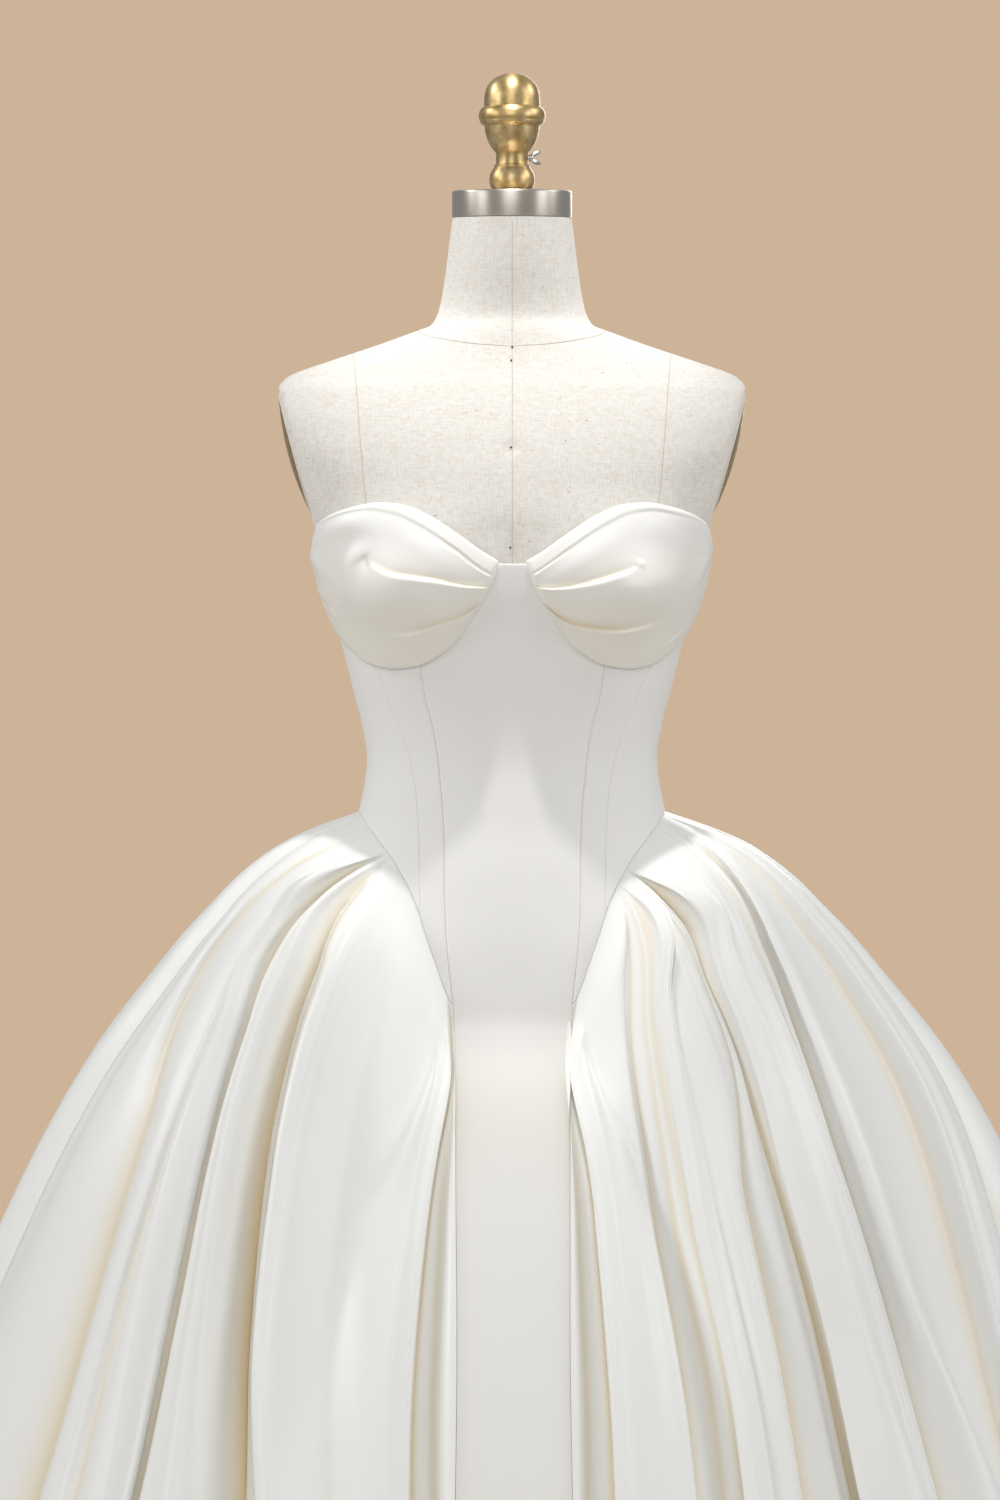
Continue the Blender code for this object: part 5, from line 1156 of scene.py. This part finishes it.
def painted_shade_share(places, shares, outer, reach):
    """Share of painted shade at each point, from 0 to 1: some across a valley, most along its crease and deep in it.
    """
    radius = np.hypot(outer[..., 0], outer[..., 1])
    window = np.hanning(2 * reach + 3)[1:-1]
    padded = np.pad(radius, ((0, 0), (reach, reach)), mode="reflect")
    mean = np.apply_along_axis(lambda row: np.convolve(row, window / window.sum(), mode="valid"), 1, padded)
    depth = mean - radius
    wide = smooth_step((depth - 0.002) / 0.022)
    near = np.exp(-(((places[:, None] - np.arange(LINE_COUNT)) / 0.22) ** 2))
    crease = (near * np.where(LINE_SHARPNESS > 0.5, LINE_SHARPNESS, 0.0)).max(1)[None]
    crease = crease * smooth_step(shares / 0.02)[:, None] * smooth_step((depth + 0.008) / 0.012)
    deep = smooth_step((depth - 0.012) / 0.012)
    return np.clip(0.35 * wide + 0.5 * crease + 0.15 * deep, 0, 1)


# Its second and third colours are painted shade for the folds and deep in them.
skirt_satin = satin_cloth("duchess_satin_skirt", "#f5f5f2", "#efe7d6", "#dcc084", 0.10, 0.38, 0.5)
falls = np.unique(np.concatenate([
    [0, *EDGE_STEPS], np.linspace(0.0035, 0.06, 24), np.linspace(0.064, 0.30, 52),
    np.linspace(0.307, 1.0, 66),
]))
rows_above = np.concatenate([
    [PANEL_TOP], PANEL_TOP - EDGE_STEPS, np.linspace(PANEL_TOP - 0.0045, V_FOOT_HEIGHT + 0.0045, 90),
    [V_FOOT_HEIGHT + 0.002],
])
span = 2 * seam_shares(61, 0.1) - 1
height = np.repeat(rows_above[:, None], len(span), axis=1)
above = bodice_wall(first(height) * span, height)
below = skirt_wall(FRONT_LINE + span, falls)
# The panel's skirt part starts out from the bodice's wall, so that it runs on without a step.
seat = bodice_wall(V_FOOT_ANGLE * span[None], np.full((1, len(span)), V_FOOT_HEIGHT))[0] - below[0][:1]
seat = seat * (1 - smooth_step(falls / 0.12))[:, None, None]
below = [wall + seat for wall in below]
wall = sewn(*(np.concatenate(pair) for pair in zip(above, below)), (*SIDE_EDGES, "top"), SIDE_EDGES)
level = wall[0][..., 2]
# Painted shade on the front panel below the V: a little all over, most along its two edges, and a band where it turns
# out.
seam_sink_and_panel_shade = smooth_step((0.90 - level) / 0.10) * (0.06 + 0.3 * np.exp(-(1 - np.abs(span)) / 0.12))
seam_sink_and_panel_shade = seam_sink_and_panel_shade + 0.2 * np.exp(-(((level - 0.81) / 0.045) ** 2))
add_cloth(
    "front_panel", wall, seam_sink_and_panel_shade, bodice_satin, "satin_bodice", "hung", ["form_linen_torso"], 0.152, 1.448, 0.1368,
)
left_seam, right_seam = line_place(-1, "side_seam_valley"), line_place(1, "side_seam_valley")
for panel, near, far, hangs_from, *cut in (  # panel, its two edges, what it hangs from, width, length, area
    ("skirt_side_left", left_seam, FRONT_LINE - 1, "side_left_satin", 1.377, 1.211, 1.1015),
    ("skirt_side_right", FRONT_LINE + 1, right_seam, "side_right_satin", 1.493, 1.252, 1.2056),
    ("skirt_back_left", 0, left_seam, "back_left_satin", 1.025, 1.223, 0.8531),
    ("skirt_back_right", right_seam, LINE_COUNT - 1, "back_right_satin", 1.084, 1.230, 0.8932),
):
    places = near + (far - near) * seam_shares((far - near) * 8 + 1, LINE_WIDTH * (far - near))
    outer, inner = skirt_wall(places, falls)
    # Painted shade in the skirt's valleys, along its creases and deep in its folds.
    painted_shade = painted_shade_share(places, falls, outer, 14)
    wall = sewn(outer, inner, (*SIDE_EDGES, "top"), (*SIDE_EDGES, "top"))
    add_cloth(panel, wall, painted_shade, skirt_satin, "satin_skirt", "gathered", [hangs_from], *cut)

# ---------------------------------------------------------------- zip
# A concealed zip closes the centre back. Only its die-cast slider shows, white enamelled, and the pull
# tab that hangs from the slider's bridge.
SLIDER_HEIGHT, SLIDER_LIFT, TAB_AXIS_OUT = 1.190, 0.0006, 0.0023
enamel, tree, shader = new_material("white_enamelled_zinc", "#efede6", 0.3, Coat_Weight=0.2)
vary_roughness(tree, shader, grain(tree, 1.0, 3), 0.24, 0.42)
bump(tree, shader, grain(tree, 0.8, 2), 0.01)
ends = form_radius(180.0, np.array([SLIDER_HEIGHT - 0.01, SLIDER_HEIGHT + 0.01]))
depth = float(ends.mean()) + EASE + CLOTH_WALL + SLIDER_LIFT
slope = Matrix.Rotation(-math.atan(float(ends[1] - ends[0]) / 0.02), 4, "X")
zip_frame = Matrix.Translation((0, depth, SLIDER_HEIGHT)) @ slope
half_length, plate, half_width = 0.0045, 0.0012, 0.0026
shoulder = [
    (-half_width, 0.0034), (-half_width + 0.0009, half_length), (-0.0006, half_length), (0.0, half_length - 0.0012),
    (0.0006, half_length), (half_width - 0.0009, half_length), (half_width, 0.0034), (half_width - 0.0004, -0.0020),
    (half_width - 0.0009, -half_length), (-half_width + 0.0009, -half_length), (-half_width + 0.0004, -0.0020),
]
body = plate_mesh("body", [(x, 0, z) for x, z in shoulder], (0, plate, 0), 0.0003, zip_frame)
foot, top, wall, half = 0.0030, 0.0042, 0.0009, 0.0008
arch = [(plate / 2, -foot), (top - 0.0008, -foot), (top, -foot + 0.0008), (top, foot - 0.0008), (top - 0.0008, foot),
        (plate / 2, foot), (plate / 2, foot - wall), (top - wall, foot - wall), (top - wall, wall - foot),
        (plate / 2, wall - foot)]
bridge = plate_mesh("bridge", [(-half, y, z) for y, z in arch], (2 * half, 0, 0), 0.0002, zip_frame)
add_piece(
    "zip_slider_enamel", joined("zip_slider_enamel", [body, bridge]), enamel, STANDING,
    ["zip_slider"], 30,
)
bar, arm_near, arm_far, thick, length, yoke = 0.0005, 0.0013, 0.0021, 0.0005, 0.0230, 0.0060
hang = Matrix.Translation(zip_frame @ Vector((0, TAB_AXIS_OUT, 0)))
crossbar = turned_mesh(
    "crossbar", [(-arm_far, 0.0), (-arm_far, bar), (arm_far, bar), (arm_far, 0.0)], 16,
    hang @ Matrix.Rotation(math.pi / 2, 4, "Y"),
)
arms = [
    plate_mesh(
        "arm", [(side * out, -thick, z) for out, z in (
            (arm_near, bar * 0.6), (arm_far, bar * 0.6), (arm_far, -yoke), (arm_near, -yoke),
        )], (0, 2 * thick, 0), 0.0002, hang,
    )
    for side in (-1, 1)
]
blade = [(-arm_far, -yoke + 0.0004), (arm_far, -yoke + 0.0004), (arm_far, 0.0014 - length),
         (arm_far - 0.0005, 0.0004 - length), (arm_far - 0.0014, -length), (0.0014 - arm_far, -length),
         (0.0005 - arm_far, 0.0004 - length), (-arm_far, 0.0014 - length)]
tab = plate_mesh("tab", [(x, -thick, z) for x, z in blade], (0, 2 * thick, 0), 0.0002, hang)
add_piece(
    "pull_tab_enamel", joined("pull_tab_enamel", [crossbar, *arms, tab]), enamel, "pull_tab",
    ["pull_tab"], 30,
)

# ---------------------------------------------------------------- stage
# A pale floor, a small spot high above the bust, wide soft lights on all sides and an even room.
floor_data = bmesh.new()
bmesh.ops.create_circle(floor_data, cap_ends=True, segments=96, radius=1.9)
floor = new_object("floor", plain_mesh("floor", floor_data))
floor.location = (0, 0, -0.0005)
pale_floor, tree, shader = new_material("pale_matt_floor", "#e2d5c3", 0.8)
place = add_node(tree, "ShaderNodeTexCoord").outputs["Object"]
away = add_node(tree, "ShaderNodeVectorMath", {0: place}, operation="LENGTH").outputs["Value"]
kept = add_node(
    tree, "ShaderNodeMapRange", {"Value": away},
    {"From Min": 1.1, "From Max": 1.88, "To Min": 1.0, "To Max": 0.0}, interpolation_type="SMOOTHSTEP",
)
tree.links.new(kept.outputs["Result"], shader.inputs["Alpha"])
floor.data.materials.append(pale_floor)


def add_light(name, at, aim, watts, size, cone=0):
    """A round soft light, or a spot with a cone in degrees, aimed at a point."""
    lamp = bpy.data.lights.new(name, "SPOT" if cone else "AREA")
    lamp.energy = watts
    if cone:
        lamp.spot_size, lamp.spot_blend, lamp.shadow_soft_size = math.radians(cone), 0.7, size / 2
    else:
        lamp.shape, lamp.size = "DISK", size
    made = new_object(name, lamp)
    made.location = at
    made.rotation_euler = (Vector(aim) - Vector(at)).to_track_quat("-Z", "Y").to_euler()


for light in (
    ("key", (0.0, -0.36, 2.8), (0, 0.0, 1.1), 50, 0.08, 17), ("top", (0.0, -0.36, 2.8), (0, -0.1, 1.2), 4, 0.12),
    ("front_fill", (-0.3, -3.8, 2.2), (0, 0, 1.0), 27, 2.0), ("left_fill", (-3.4, -2.0, 2.2), (0, 0, 1.0), 27, 1.6),
    ("right_fill", (3.4, -2.0, 2.2), (0, 0, 1.0), 28, 1.6), ("left_top", (-2.2, 0.0, 2.8), (-0.2, 0, 1.0), 17, 0.8),
    ("right_top", (2.2, 0.0, 2.8), (0.2, 0, 1.0), 13, 0.8), ("back_fill", (0.6, 3.8, 2.4), (0, 0, 1.0), 40, 2.0),
):
    add_light(*light)

world = bpy.data.worlds.new("room")
world.use_nodes = True
tree = world.node_tree
seen = add_node(tree, "ShaderNodeBackground", values={"Color": linear("#cdb499"), "Strength": 1.0})
lit = tree.nodes["Background"]
lit.inputs["Color"].default_value, lit.inputs["Strength"].default_value = linear("#f8f9fb"), 0.34
rays = add_node(tree, "ShaderNodeLightPath")
either = add_node(
    tree, "ShaderNodeMixShader", {0: rays.outputs["Is Camera Ray"], 1: lit.outputs[0], 2: seen.outputs[0]},
)
tree.links.new(either.outputs[0], tree.nodes["World Output"].inputs["Surface"])
bpy.context.scene.world = world

camera = new_object("camera", bpy.data.cameras.new("camera"))
camera.data.lens, camera.data.sensor_width = 88.1, 36.0
camera.data.sensor_fit = "AUTO"
camera.location, camera.rotation_euler = (-0.0098, -3.0, 1.085), (math.radians(90), 0, 0)
bpy.context.scene.camera = camera
bpy.context.scene.view_settings.view_transform = "Standard"
